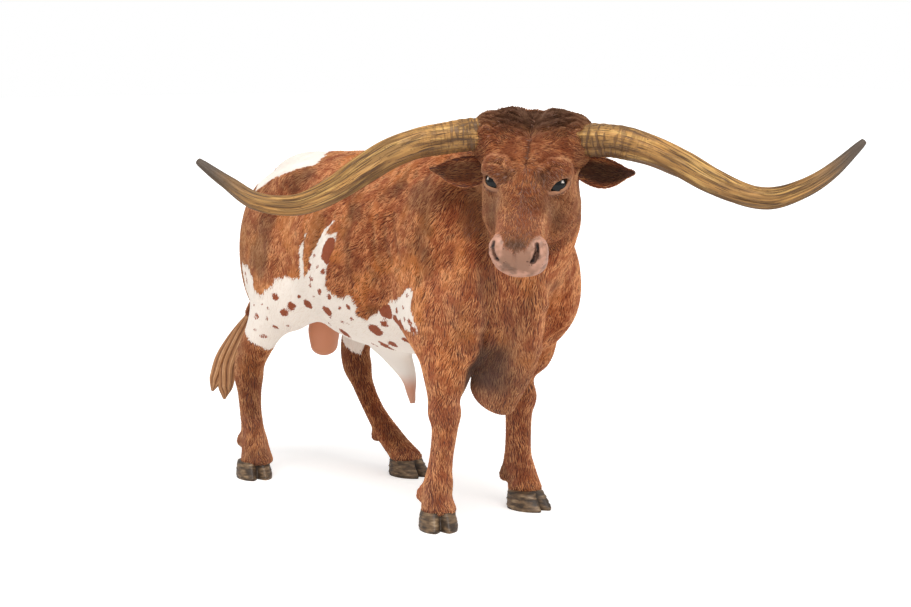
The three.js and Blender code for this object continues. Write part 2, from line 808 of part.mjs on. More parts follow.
const legRegion = (side, { low, high, slopes }) => ({
  low: side > 0 ? low : [-high[0], low[1], low[2]],
  high: side > 0 ? high : [-low[0], high[1], high[2]],
  slopes: slopes.map(([at, to]) => slope([at[0] * side, at[1], at[2]], [to[0] * side, to[1], to[2]])),
});
const FORE = { low: [7.4, -44, CORONET + GAP], high: [30, -18.4, 60], slopes: [[[16, 0, 44], [0.64, 0, -0.77]]] };
const HIND = {
  low: [5.4, 6, CORONET + GAP],
  high: [30, 56, 60],
  slopes: [[[16, 0, 46], [0.59, 0, -0.81]], [[0, 21, 40], [0, 0.95, -0.26]]],
};
const SEAMS = {
  leg_front_right: legRegion(RIGHT, FORE),
  leg_front_left: legRegion(LEFT, FORE),
  leg_hind_right: legRegion(RIGHT, HIND),
  leg_hind_left: legRegion(LEFT, HIND),
  brisket: { low: [-7, -54, 10], high: [4, -24, 35.5] },
  scrotum: { low: [-5, 24, 20], high: [5, 36, 40.2] },
  sheath: { low: [-4, -9, 15], high: [4, 15, 31.8] },
  neck: { low: [-30, -70, 20], high: [30, -20, 100], slopes: [slope([0, -34.5, 56], [0, -0.96, 0.28])] },
  head: {
    low: [-20, -50, -16.2],
    high: [20, 12, 20],
    slopes: [slope([0, 6.2, 0], [0, -0.85, 0.53])],
    frame: headFrame,
  },
  muzzle: { low: [-20, -50, -16.2], high: [20, -23.6, 20], frame: headFrame },
};

// A piece of flesh: the field inside a region, meshed at its own fineness, less its neighbours.
function piece(low, high, cell, inside, outside = []) {
  let body = solid(surfaceOf(bull, around(low, high), cell));
  if (inside) body = body.intersect(region(SEAMS[inside]));
  for (const name of outside) body = body.subtract(region(SEAMS[name], GAP));
  return largest(body);
}

const LEGS = ["leg_front_right", "leg_front_left", "leg_hind_right", "leg_hind_left"];
const FLESH = [
  ["torso", [-24, -50, 26], [24, 56, 84], 3.4, null, [...LEGS, "brisket", "scrotum", "sheath", "neck"]],
  ["neck", [-30, -62, 30], [24, -26, 92], 2.8, "neck", ["head", "brisket", ...LEGS.slice(0, 2)]],
  ["brisket", [-9, -56, 16], [6, -20, 40], 2.2, "brisket"],
  ["head", [-34, -76, 50], [16, -36, 90], 1.5, "head", ["muzzle"]],
  ["muzzle", [-34, -76, 46], [0, -50, 72], 1.1, "muzzle"],
  ["leg_front_right", [-28, -50, 1], [0, -10, 54], 2, "leg_front_right"],
  ["leg_front_left", [0, -50, 1], [28, -10, 54], 2, "leg_front_left"],
  ["leg_hind_right", [-28, 4, 1], [0, 58, 56], 2, "leg_hind_right"],
  ["leg_hind_left", [0, 4, 1], [28, 58, 56], 2, "leg_hind_left"],
  ["scrotum", [-8, 22, 22], [8, 38, 44], 1.7, "scrotum"],
  ["sheath", [-6, -10, 16], [6, 18, 36], 1.7, "sheath"],
];
const PAINTED = { muzzle: PAINT.pink, scrotum: PAINT.pink, sheath: PAINT.white };

const sides = { left: LEFT, right: RIGHT };
const sockets = Object.values(sides).flatMap((s) => [horn(s, GAP), ear(s, GAP), eye(s, GAP)]);
const group = new THREE.Group();

function add(name, body, paint) {
  const mesh = new THREE.Mesh(geometryOf(body), new THREE.MeshStandardMaterial(paint));
  mesh.name = name;
  group.add(mesh);
}

for (const [name, ...spec] of FLESH) {
  let body = piece(...spec);
  if (name === "head") body = largest(sockets.reduce((all, socket) => all.subtract(socket), body));
  add(name, body, PAINTED[name] ?? PAINT.coat);
}
for (const [side, sign] of Object.entries(sides)) {
  add(`horn_${side}`, horn(sign), PAINT.horn);
  add(`ear_${side}`, ear(sign), PAINT.coat);
  add(`eye_${side}`, eye(sign), PAINT.eye);
}
const trunk = surfaceOf({ at: (p) => bull.at(p) - GAP }, around([-14, 36, 28], [10, 58, 76]), 1.8);
const tailBody = solid(surfaceOf(melt(tail()), around([-12, 36, 30], [8, 58, 74]), 1.6));
const dock = tailBody.subtract(solid(trunk)).trimByPlane([0, 0, 1], TAIL_SEAM + GAP);
add("tail", largest(dock), PAINT.coat);
add("tail_switch", tailSwitch().trimByPlane([0, 0, -1], -TAIL_SEAM), PAINT.tail);
for (const [name, { x, y, yaw }] of Object.entries(HOOVES)) {
  add(`hoof_${name}`, hoof(x, y, yaw), PAINT.hoof);
}

// The origin is under the middle of the whole figure.
const whole = new THREE.Box3().setFromObject(group);
const middle = whole.getCenter(new THREE.Vector3());
group.position.set(-middle.x, -middle.y, 0);

export default group;
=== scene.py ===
"""A toy longhorn bull: a figure moulded in solid plastic, carved with hair and painted by hand."""

import math

import bmesh
import bpy
import numpy as np
from mathutils import Matrix, Vector


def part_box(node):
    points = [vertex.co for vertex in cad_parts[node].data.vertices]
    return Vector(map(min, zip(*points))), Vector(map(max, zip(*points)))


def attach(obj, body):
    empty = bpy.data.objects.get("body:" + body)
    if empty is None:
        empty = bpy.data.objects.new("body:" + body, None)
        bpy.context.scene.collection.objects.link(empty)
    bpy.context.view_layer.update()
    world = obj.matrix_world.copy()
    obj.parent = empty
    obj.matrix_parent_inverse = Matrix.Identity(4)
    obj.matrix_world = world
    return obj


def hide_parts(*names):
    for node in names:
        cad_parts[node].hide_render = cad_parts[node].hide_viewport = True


bl_info = {
    "name": "Toy Longhorn Bull",
    "version": (1, 0, 0),
    "blender": (4, 5, 0),
    "location": "View3D > Sidebar > Longhorn",
    "description": "Builds a painted figure of a longhorn bull, piece by piece",
    "category": "Object",
}

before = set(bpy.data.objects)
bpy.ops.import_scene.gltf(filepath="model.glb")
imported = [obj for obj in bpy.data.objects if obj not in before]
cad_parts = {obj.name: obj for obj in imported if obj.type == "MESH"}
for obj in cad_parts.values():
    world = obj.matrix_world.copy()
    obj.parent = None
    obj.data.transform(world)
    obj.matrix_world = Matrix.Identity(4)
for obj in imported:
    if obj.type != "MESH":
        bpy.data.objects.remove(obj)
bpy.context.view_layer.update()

# The figure is shaped in millimetres in the bull's own frame: it faces -Y, its left side is +X and
# the middle of its body is at x = 0. The solids' frame is that one, moved along the floor.
MM = 0.001
LEFT, RIGHT = 1, -1
WITHERS = 75.0
RUMP_END = 47.5
CHEST_END = -44.0
LEG_OUT = 13.8
CORONET = 3.7
HOOVES = {
    "front_right": dict(x=-LEG_OUT - 0.6, y=-30.8, yaw=-28, step=0, inward=0.9),
    "front_left": dict(x=LEG_OUT - 1.2, y=-26.8, yaw=6, step=6.2, inward=0.2),
    "hind_right": dict(x=-14.8, y=36.8, yaw=-18, step=0, slim=1),
    "hind_left": dict(x=14, y=17.2, yaw=4, step=-18.5, slim=0.8),
}
HEAD = dict(poll=(-6.5, -50.3, 82), yaw=-48, lean=2.2, pitch=50)
# The box round the head, in its own frame: how far it reaches down the face and to each side
HEAD_LONG, HEAD_HALF = 34, 14
EYE = dict(at=(5.6, -12.1, -3.4), radius=2.3)
SHOULDER = {
    LEFT: dict(z=54, y=-29.5, blade=(4.4, 8.5, 13), arm=(5.4, 8.5, 9)),
    RIGHT: dict(z=56, y=-26, blade=(5, 8.5, 15), arm=(4.8, 8.5, 9)),
}


def frame_shift():
    """How far the solids' frame lies from the bull's own, read from the box of its left eye."""
    low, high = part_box("eye_left")
    eye = HEAD_FRAME @ np.array([*EYE["at"], 1.0])
    middle = (np.array(low) + np.array(high)) / 2 / MM
    return np.array([middle[0] - eye[0], middle[1] - eye[1], 0.0])


def turned(axis, degrees):
    return np.array(Matrix.Rotation(math.radians(degrees), 4, Vector(axis)))


LEVEL_FRAME = np.array(Matrix.Translation(HEAD["poll"])) @ turned((0, 0, 1), HEAD["yaw"])
HEAD_FRAME = LEVEL_FRAME @ turned((0, 1, 0), HEAD["lean"]) @ turned((1, 0, 0), HEAD["pitch"])
SHIFT = frame_shift()


def to_metres(points):
    return (np.asarray(points, float) + SHIFT) * MM


def from_metres(points):
    return points / MM - SHIFT


def in_frame(points, matrix):
    return np.asarray(points, float) @ matrix[:3, :3].T + matrix[:3, 3]


def unit(v):
    return v / np.maximum(np.linalg.norm(v, axis=-1, keepdims=True), 1e-9)


def head_place(p):
    """The same points in the head's frame: facing -Y, with its forehead up and its poll at 0."""
    return in_frame(p, np.linalg.inv(HEAD_FRAME))


def eye_centre(side):
    x, y, z = EYE["at"]
    return np.array([side * x, y, z])


# Shapes: each is a function of points that is negative inside, with the box that holds it


def smooth_min(a, b, k):
    h = np.maximum(k - np.abs(a - b), 0) / k
    return np.minimum(a, b) - h * h * k * 0.25


def smooth_step(low, high, x):
    t = np.clip((x - low) / (high - low), 0, 1)
    return t * t * (3 - 2 * t)


def oval_distance(length, a, b, c, power):
    r = (np.abs(a) ** power + np.abs(b) ** power + np.abs(c) ** power) ** (1 / power)
    return length * (1 - 1 / np.maximum(r, 1e-6))


def spline(points, t):
    """A point of the smooth curve through all the points, t from 0 to 1."""
    last = len(points) - 1
    k = min(int(t * last), last - 1)
    w = t * last - k
    p1, p2 = points[k], points[k + 1]
    p0 = points[k - 1] if k > 0 else 2 * p1 - p2
    p3 = points[k + 2] if k + 2 <= last else 2 * p2 - p1
    d0, d1, d2 = (np.dot(b - a, b - a) ** 0.25 for a, b in ((p0, p1), (p1, p2), (p2, p3)))
    d1 = d1 if d1 >= 1e-4 else 1.0
    d0 = d0 if d0 >= 1e-4 else d1
    d2 = d2 if d2 >= 1e-4 else d1
    m1 = ((p1 - p0) / d0 - (p2 - p0) / (d0 + d1) + (p2 - p1) / d1) * d1
    m2 = ((p2 - p1) / d1 - (p3 - p1) / (d1 + d2) + (p3 - p2) / d2) * d1
    c2 = -3 * p1 + 3 * p2 - 2 * m1 - m2
    c3 = 2 * p1 - 2 * p2 + m1 + m2
    return p1 + m1 * w + c2 * w * w + c3 * w**3


def spline_direction(points, t):
    return unit(spline(points, min(1, t + 1e-4)) - spline(points, max(0, t - 1e-4)))


def limb(stations, side=(1, 0, 0), power=2.0, cap=1.0, steps=4):
    """A spine through stations (x, y, z, side, up, down) with an oval section at each."""
    stations = np.array(stations, float)
    count = (len(stations) - 1) * steps
    spine, girth, tangents, sides, ups = [], [], [], [], []
    for i in range(count + 1):
        tangent = spline_direction(stations[:, :3], i / count)
        s = unit(np.array(side) - np.dot(side, tangent) * tangent)
        spine.append(spline(stations[:, :3], i / count))
        girth.append(spline(stations[:, 3:], i / count))
        tangents.append(tangent)
        sides.append(s)
        ups.append(np.cross(s, tangent))
    spine, girth, tangents, sides, ups = map(np.array, (spine, girth, tangents, sides, ups))
    reach = stations[:, 3:].max()

    def at(p):
        best = np.full(len(p), np.inf)
        where = np.zeros(len(p), int)
        share = np.zeros(len(p))
        for i in range(count):
            along = spine[i + 1] - spine[i]
            d = p - spine[i]
            t = np.clip(d @ along / (along @ along), 0, 1)
            away = ((d - t[:, None] * along) ** 2).sum(1)
            closer = away < best
            best[closer] = away[closer]
            where[closer] = i
            share[closer] = t[closer]
        here, t = where, share[:, None]
        d = p - (spine[here] * (1 - t) + spine[here + 1] * t)

        def component(axes):
            first = (d * axes[here]).sum(1)
            second = (d * axes[here + 1]).sum(1)
            return first + (second - first) * share

        across, rise, ahead = component(sides), component(ups), component(tangents)
        size = girth[here] * (1 - t) + girth[here + 1] * t
        wide = size[:, 0]
        tall = np.where(rise > 0, size[:, 1], size[:, 2])
        end = np.minimum(wide, tall) * cap
        length = np.linalg.norm(d, axis=1)
        return oval_distance(length, across / wide, rise / tall, ahead / end, power)

    return dict(low=spine.min(0) - reach, high=spine.max(0) + reach, at=at)


def lump(centre, radii, turn=(0, 0, 0), power=2.0):
    """An ellipsoid turned by degrees about X, then Y, then Z."""
    centre = np.array(centre, float)
    axes = turned((0, 0, 1), turn[2]) @ turned((0, 1, 0), turn[1]) @ turned((1, 0, 0), turn[0])
    axes = axes[:3, :3]
    reach = max(radii)

    def at(p):
        d = (p - centre) @ axes
        a, b, c = (d / np.array(radii)).T
        return oval_distance(np.linalg.norm(d, axis=1), a, b, c, power)

    return dict(low=centre - reach, high=centre + reach, at=at)


def placed(shape, matrix):
    """The same shape in another frame."""
    back = np.linalg.inv(matrix)
    low, high = shape["low"], shape["high"]
    corners = [[(low, high)[i][0], (low, high)[j][1], (low, high)[k][2]]
               for i in (0, 1) for j in (0, 1) for k in (0, 1)]
    corners = in_frame(corners, matrix)
    return dict(low=corners.min(0), high=corners.max(0), at=lambda p: shape["at"](in_frame(p, back)))


def melted(items, p, margin=9.0):
    """Melts shapes together in order at points p. Each item is (shape, blend), or (shape, -carve)."""
    value = np.full(len(p), 1e3)
    for shape, blend in items:
        outside = np.maximum(np.maximum(shape["low"] - margin - p, p - shape["high"] - margin), 0)
        away = np.linalg.norm(outside, axis=1)
        near = away == 0
        if blend > 0:
            value = np.where(near, value, np.minimum(value, margin + away))
        if not near.any():
            continue
        d = shape["at"](p[near])
        if blend > 0:
            value[near] = smooth_min(value[near], d, blend)
        else:
            value[near] = -smooth_min(-value[near], d, -blend)
    return value


# The bull's flesh


def torso():
    stations = [
        (0, CHEST_END + 8, 51, 10.5, 15, 14.5), (0, -28, 52.5, 14, 20.5, 19),
        (0, -16, 52.5, 16, WITHERS - 53, 20), (0, -4, 51.5, 17.2, 20.6, 19.8),
        (0, 8, 51.5, 17.4, 20.9, 19.3), (0, 20, 53, 16, 20.9, 16.8), (0, 30, 55.2, 13.8, 18, 14.5),
        (0, 37, 55.6, 11.8, 15.6, 13.6), (0, RUMP_END - 5.5, 55, 9.3, 12.6, 11.6),
    ]
    yield limb(stations, power=2.25, cap=0.55), 1
    yield lump((0, -21, 67), (6.5, 12, 8.5)), 8
    yield lump((0, 39, 66.5), (3.2, 8, 3.6), (-20, 0, 0)), 6
    for s in (LEFT, RIGHT):
        shoulder = SHOULDER[s]
        yield lump((s * 11.5, -26, shoulder["z"]), shoulder["blade"], (14, 0, s * 6)), 5
        yield lump((s * 10.5, -37, 48.5), (5, 5.5, 9)), 6
        yield lump((s * 12.2, shoulder["y"], 43.5), shoulder["arm"]), 5
        yield lump((s * 10.8, 25, 66.5), (3.6, 4.6, 3.4)), 5
        yield lump((s * 9.8, 35, 50.5), (6.3, 10.5, 16)), 6
        yield lump((s * 12, 27, 44), (5, 8, 10), (-20, 0, 0)), 6
        yield lump((s * 4.8, 44, 59.5), (3.2, 3, 4)), 4


def chest_floor():
    """Flesh that joins the brisket to the legs."""
    yield lump((-8.3, -33.2, 38), (4.6, 4.6, 5.2)), 4
    yield lump((7.6, -31, 38.5), (4, 4.4, 4.8)), 4


def neck():
    stations = [
        (0, -24, 56, 11, 16, 15), (-0.5, -35, 60.5, 9.6, 14.5, 16),
        (-1.6, -42.5, 66, 9.6, 11.8, 13.5), (-5.2, -46.5, 73.5, 7.4, 8, 9.5),
    ]
    yield limb(stations, side=(-1, 0, 0)), 8
    yield lump((-2.2, -38.8, 75), (5.6, 8.5, 6.2)), 5
    stations = [
        (-9, -50.5, 63, 3.2, 4, 3), (-5.2, -46.5, 55, 3.8, 6, 4), (-3.6, -43, 46, 4, 8, 7),
        (-2.8, -38, 37, 4, 8.4, 9), (-3.5, -34.2, 27, 3, 6, 7),
    ]
    yield limb(stations, cap=1.1), 4


def underparts():
    stations = [
        (0, 28.5, 43, 2.6, 2.6, 2.6), (0, 29.6, 38, 2.8, 2.6, 2.6), (0, 30.3, 33, 3.8, 3.3, 3.3),
        (0, 30.3, 29.6, 3.3, 2.9, 2.9),
    ]
    yield limb(stations, cap=0.9), 2
    stations = [
        (0, 9, 33.6, 2, 3.5, 3.5), (0, 4, 31, 2, 3.4, 3.4), (0, 0, 28, 1.9, 2.7, 2.9),
        (0, -1.8, 25.4, 1.6, 1.7, 1.7), (0, -2.4, 22.8, 1.1, 1.1, 1.1),
        (0, -2.9, 20.8, 0.75, 0.75, 0.75),
    ]
    yield limb(stations, cap=1.2), 3


def tail():
    stations = [
        (0, 41.5, 68.2, 2.8, 2.8, 2.8), (0, 46.2, 66.2, 2.5, 2.5, 2.5),
        (0, 48.9, 61.5, 2.1, 2.1, 2.1), (-0.5, 49.7, 54, 1.9, 1.9, 1.9),
        (-1.9, 49.6, 46, 1.7, 1.7, 1.7), (-3.8, 50.2, 39.5, 1.7, 1.7, 1.7),
        (-5.1, 51.3, 35, 2, 2, 2),
    ]
    yield limb(stations), 1.5


DEWCLAW = (1.0, 1.2, 1.8)


def front_leg(side, hoof):
    stations = []
    for x, y, z, *girth in [
        (11.8, -26, 46, 4.4, 7, 6), (12, -27.2, 39, 4.5, 5.8, 5.2),
        (12.4, -28.4, 32.5, 3.6, 4.2, 3.9), (12.8, -29.2, 26.4, 3, 3.2, 3.2),
        (13, -29.6, 23.4, 3.3, 3.3, 3.5), (13, -29.3, 20, 2.5, 3.2, 2.8),
        (13.1, -29.1, 15, 2.2, 3.3, 2.7), (13.2, -29, 11.4, 2.4, 3.5, 2.6),
        (13.3, -29, 9, 2.9, 3.8, 2.8), (LEG_OUT, -29.4, 6.4, 3, 3.4, 3),
        (LEG_OUT, -30.2, 3, 3.7, 3.6, 3.9),
    ]:
        share = min(1, (46 - z) / 19)
        shaft = max(0, 1 - abs(z - 20) / 15)
        y += hoof["step"] * share - hoof["inward"] * 0.7 * shaft
        stations.append((side * (x - hoof["inward"] * shaft), y, z, *girth))
    turn = math.radians(hoof["yaw"] * 0.7)
    yield limb(stations, side=(math.cos(turn), math.sin(turn), 0)), 3
    if side == LEFT:
        yield lump((14.3, -26.5, 36), (4, 4.5, 7)), 3
    else:
        yield lump((-10.3, -30.3, 32.5), (3.2, 3.4, 6)), 2.5
    for x in (-1.5, 1.5):
        yield lump((side * 13.3 + x, -25.8 + hoof["step"], 6.5), DEWCLAW, (30, 0, 0)), 1.6


def swing(hoof, z):
    """How much of its step a hind leg has made at a height."""
    return (np.maximum(0, 40 - z) / 36) ** 2.6 if hoof["step"] else 0


def hind_leg(side, hoof):
    stations = []
    for x, y, z, wide, back, front in [
        (12, 27, 45, 4.6, 8, 7), (12.8, 31.5, 38, 4.1, 6.2, 5.6), (13.5, 36.4, 31, 3.1, 4.2, 4),
        (13.9, 39.2, 26, 2.9, 4.1, 3.3), (14, 39.8, 22.6, 3, 3.6, 3.2),
        (14, 39.6, 19, 2.4, 2.8, 2.6), (14, 39.2, 14.5, 2.2, 2.5, 2.3),
        (14, 38.6, 11, 2.4, 2.7, 2.6), (14, 38.2, 8.8, 2.8, 3, 3), (14, 37.5, 6.4, 3, 3, 3.2),
        (14, 37, 3.4, 3.7, 3.6, 4),
    ]:
        slim = hoof["slim"] if z < 22 else 1
        y += hoof["step"] * swing(hoof, z)
        stations.append((side * x, y, z, wide, back * slim, front * slim * slim))
    yield limb(stations), 3
    for x in (-1.5, 1.5):
        y = 40.8 + hoof["step"] * swing(hoof, 8.3)
        yield lump((side * 14 + x, y, 8.1), DEWCLAW, (30, 0, 0)), 1


def skull():
    """The head, in its own frame."""
    stations = [
        (0, 3, -5.5, 7.5, 4.6, 6), (0, -1.5, -5.5, 9.4, 5.3, 8), (0, -6.5, -6, 8.9, 5.9, 9),
        (0, -11, -6.2, 8, 6.2, 9.4), (0, -15.5, -5.9, 6.3, 5.5, 8.2), (0, -20, -5.8, 5, 4.7, 6.2),
        (0, -24.5, -5.8, 4.7, 4.2, 4.8), (0, -27, -5.8, 4.9, 3.9, 4.2),
    ]
    yield limb(stations, side=(-1, 0, 0), power=2.5, cap=0.6), 1
    yield lump((0.8, -27.8, -5.4), (5.2, 2.8, 4.1), (-14, 0, 0), 2.3), 1.6
    yield lump((0, -26, -9), (4, 3.4, 2)), 1.4
    for s in (LEFT, RIGHT):
        yield lump((s * 6.6, -10, -2.1), (2, 2.6, 2), (0, s * 35, 0)), 2
        yield lump((s * 4.8, -11.8, -10.4), (3.8, 7.6, 4.5)), 3.5
        yield lump((s * 3.8 + 0.5, -27, -3.2), (1.7, 2.2, 2.1)), 1.3
        yield lump((s * 8.6, -1.6, -3.8), (3.4, 4.2, 4.2)), 3
        yield nostril(s), -0.25
        yield lump((s * 9.1, -1.4, -3.3), (2.4, 4.2, 4.2)), 1.5
        yield lump((s * 4.2, 0.2, -1), (5, 3.2, 1.6)), 2
        yield lump(eye_centre(s), (LID_RADIUS,) * 3), 0.9
        yield eye_opening(s), -0.15
    for x, z in POLL_TUFTS:
        yield lump((x, 1.5, z), (1.5, 1.8, 1.5)), 0.6


# What the carver added to the head, in the head's frame

LID_RADIUS = 2.75
EYE_SLIT = dict(half_length=2.1, half_height=0.72)
# Where the tufts on the poll stand: out to the left, and up
POLL_TUFTS = ((-4.2, -0.4), (1, -0.6), (3.9, -0.7), (6.9, -1.5))


def eye_axes(side):
    """How an eye looks out, the line through its corners, and what is up across that line."""
    gaze = unit(np.array([side * 0.62, -0.42, 0.66]))
    corners = unit(np.array([side * 0.6, 0.78, -0.18]))
    corners = unit(corners - (corners @ gaze) * gaze)
    return gaze, corners, np.cross(gaze, corners) * side


def eye_opening(side):
    """The almond between the lids, cut straight out from the eyeball."""
    centre, (gaze, corners, up) = eye_centre(side), eye_axes(side)
    long, high = EYE_SLIT["half_length"], EYE_SLIT["half_height"]

    def at(p):
        d = p - centre
        a, b, depth = d @ corners, d @ up, d @ gaze
        almond = np.abs(b) - high * (1 - (a / long) ** 2)
        return np.maximum(almond * 0.8, 0.6 - depth)

    return dict(low=centre - 5, high=centre + 5, at=at)


def nostril(side):
    """A comma-shaped slit, wide below."""
    stations = [
        (side * 4.1, -27.3, -1.5, 0.26, 0.5, 0.5), (side * 4.2, -28.3, -2.2, 0.34, 0.9, 0.9),
        (side * 3.9, -29.0, -3.1, 0.42, 1.2, 1.2), (side * 3.4, -29.5, -3.9, 0.46, 1.3, 1.3),
    ]
    return limb(stations)


# Lines that the carver cut or raised: points, depth (raised where negative) and half the width.
# Those of the head are in its own frame. Those of head and body are on both sides.
HEAD_LINES = [
    ([(3.2, -14.2, -0.9), (3.2, -12, -0.4), (4.6, -10.1, -0.3), (7, -10, -0.6)], 0.45, 0.45),
    ([(2.6, -11.6, -0.2), (4.4, -8.9, -0.2), (7.2, -9, -0.4)], -0.45, 0.7),
    ([(2.2, -9.6, 0), (4.2, -7.6, 0), (6.8, -7.4, -0.2)], 0.35, 0.5),
    ([(2.1, -14, -0.7), (2, -11.6, -0.2)], 0.2, 0.5),
    ([(5.2, -16.2, -2.6), (6.9, -15, -3.8), (8.2, -12.6, -4.3)], 0.22, 0.45),
    ([(5.1, -26.8, -1.7), (5.6, -28, -3), (4.8, -29.3, -4.9)], -0.3, 0.55),
    ([(2.7, -28.6, -2), (3, -29.4, -3), (2.2, -30.1, -4.2)], -0.2, 0.5),
    ([(0, -28.9, -2.2), (0, -30.2, -4), (0, -30.6, -5.6)], 0.22, 0.35),
    ([(0, -30.7, -5.8), (3, -29.6, -6.4), (5.2, -27, -7.4), (6, -22.5, -9.2)], 0.55, 0.38),
    ([(4.9, -21.5, -9.5), (7.5, -18.8, -9.2), (9.1, -14.5, -10.7)], -0.35, 0.7),
    ([(5.6, -22.4, -5), (5.4, -17.5, -3.6), (4.8, -15.6, -2.4)], 0.3, 1.3),
    ([(-1.3, 5.5, -2.4), (-1.2, 2.5, -0.4), (-1, 0, 0.2), (-0.3, -2, 0.3)], 1.5, 1.1),
    ([(0, -2, 0.6), (0, -7, 0), (0, -10, -0.3)], 0.2, 0.6),
]
BODY_LINES = [
    ([(14.9, -13.6, 62.2), (15.8, -14.9, 57.3), (16.1, -17.6, 53)], 0.65, 0.6),
    ([(14.8, -16.2, 62.4), (16.1, -19, 57.6), (16.6, -21, 54.1)], 0.65, 0.6),
    ([(15.4, -10.4, 61), (16.2, -11.6, 56), (16.6, -14, 51.5)], 0.55, 0.6),
    ([(11.5, -23.5, 71), (14.5, -27.5, 67.5), (16.1, -29, 63.2), (16.8, -28, 57.2)], 0.45, 1.8),
    ([(16.3, -26.5, 60), (16.9, -27.6, 54), (16.6, -28.4, 49)], 0.35, 0.8),
    ([(16.7, 12.9, 56.4), (16.8, 13.9, 52), (16.7, 14.1, 48.8)], 0.4, 0.9),
    ([(14.6, -33, 48), (15.4, -30, 42), (15.6, -28, 36)], 0.3, 0.9),
]
# Folds of the dewlap, which hangs more to the left, and the deep fold on the right of the neck
DEWLAP_LINES = [
    ([(-11.7, -40, 67), (-11.7, -41.1, 60), (-11.8, -42.2, 55.2), (-11.4, -42.4, 49.2)], 1.1, 1.6),
    ([(-11.4, -42.4, 49.2), (-10.7, -42, 45.1), (-9.5, -39.8, 40.6), (-6.8, -35, 36)], 1.0, 1.3),
    ([(-13.7, -38.3, 64), (-14.1, -38.8, 57), (-14, -39.2, 51)], -0.5, 1.6),
    ([(-5, -50.4, 51), (-2, -50, 46.5), (3, -46, 44), (5.7, -41.6, 42), (6.4, -38.4, 38)], -0.7, 1.0),
    ([(5.7, -41.6, 42), (2.5, -45, 38.6), (-1.8, -47, 36.4)], -0.5, 0.9),
    ([(1, -51.6, 57), (5, -47.4, 54), (8.1, -44, 51), (10.4, -42.2, 46.5)], -0.45, 0.7),
    ([(-4, -49.6, 52), (-6.5, -47.6, 44), (-6.6, -42, 36)], 0.5, 1.2),
]


def drawn_lines(lines, sides=(LEFT, RIGHT), frame_of=np.eye(4)):
    for line, depth, width in lines:
        for s in sides:
            yield in_frame(np.array(line, float) * (s, 1, 1), frame_of), depth, width


CARVED_LINES = [
    *drawn_lines(HEAD_LINES, frame_of=HEAD_FRAME),
    *drawn_lines(BODY_LINES),
    *drawn_lines(DEWLAP_LINES, sides=(LEFT,)),
]


def line_distance(p, line):
    best = np.full(len(p), np.inf)
    for a, b in zip(line[:-1], line[1:]):
        along, d = b - a, p - a
        t = np.clip(d @ along / (along @ along), 0, 1)
        best = np.minimum(best, np.linalg.norm(d - t[:, None] * along, axis=1))
    return best


def carving(p):
    """How deep the tool went at each point: lines, and the rolls of curly hair on the poll."""
    depth = np.zeros(len(p))
    for line, cut, width in CARVED_LINES:
        reach = 2.6 * width
        near = ((p > line.min(0) - reach) & (p < line.max(0) + reach)).all(1)
        if near.any():
            depth[near] += cut * np.exp(-((line_distance(p[near], line) / width) ** 2))
    near = (p[:, 1] < -38) & (p[:, 2] > 74)
    if near.any():
        x, y, z = head_place(p[near]).T
        on_poll = smooth_step(-6.5, -2.5, y) * smooth_step(11.5, 8.5, np.abs(x)) * (z > -4)
        roll = np.sin(4.2 * (y + 0.35 * np.sin(2.1 * x + y) + 0.6 * np.abs(x) ** 0.7) - 1.5 * z)
        depth[near] += 0.24 * roll * on_poll
    return depth


FLESH = [
    *torso(),
    *neck(),
    *chest_floor(),
    *front_leg(RIGHT, HOOVES["front_right"]),
    *front_leg(LEFT, HOOVES["front_left"]),
    *hind_leg(RIGHT, HOOVES["hind_right"]),
    *hind_leg(LEFT, HOOVES["hind_left"]),
    *((placed(shape, HEAD_FRAME), blend) for shape, blend in skull()),
    *underparts(),
    *tail(),
]
SKIN_DEPTH = 0.1


def skin_field(p):
    """The skin's surface is where this is zero: a little under the solids, flat at the coronets."""
    value = melted(FLESH, p) + SKIN_DEPTH + carving(p)
    return np.maximum(value, CORONET - 0.5 - p[:, 2])


def drawn_onto(field, p, reach, rounds=2, h=0.05):
    """Moves points along the field's slope to its surface, but no further than reach."""
    start = p.copy()
    for _ in range(rounds):
        value = field(p)
        slope = np.stack([(field(p + step) - value) / h for step in np.eye(3) * h], 1)
        steep = np.maximum((slope**2).sum(1), 0.2)
        p = p - slope * (value / steep)[:, None]
    moved = p - start
    length = np.linalg.norm(moved, axis=1, keepdims=True)
    return start + moved * np.minimum(1, reach / np.maximum(length, 1e-9))


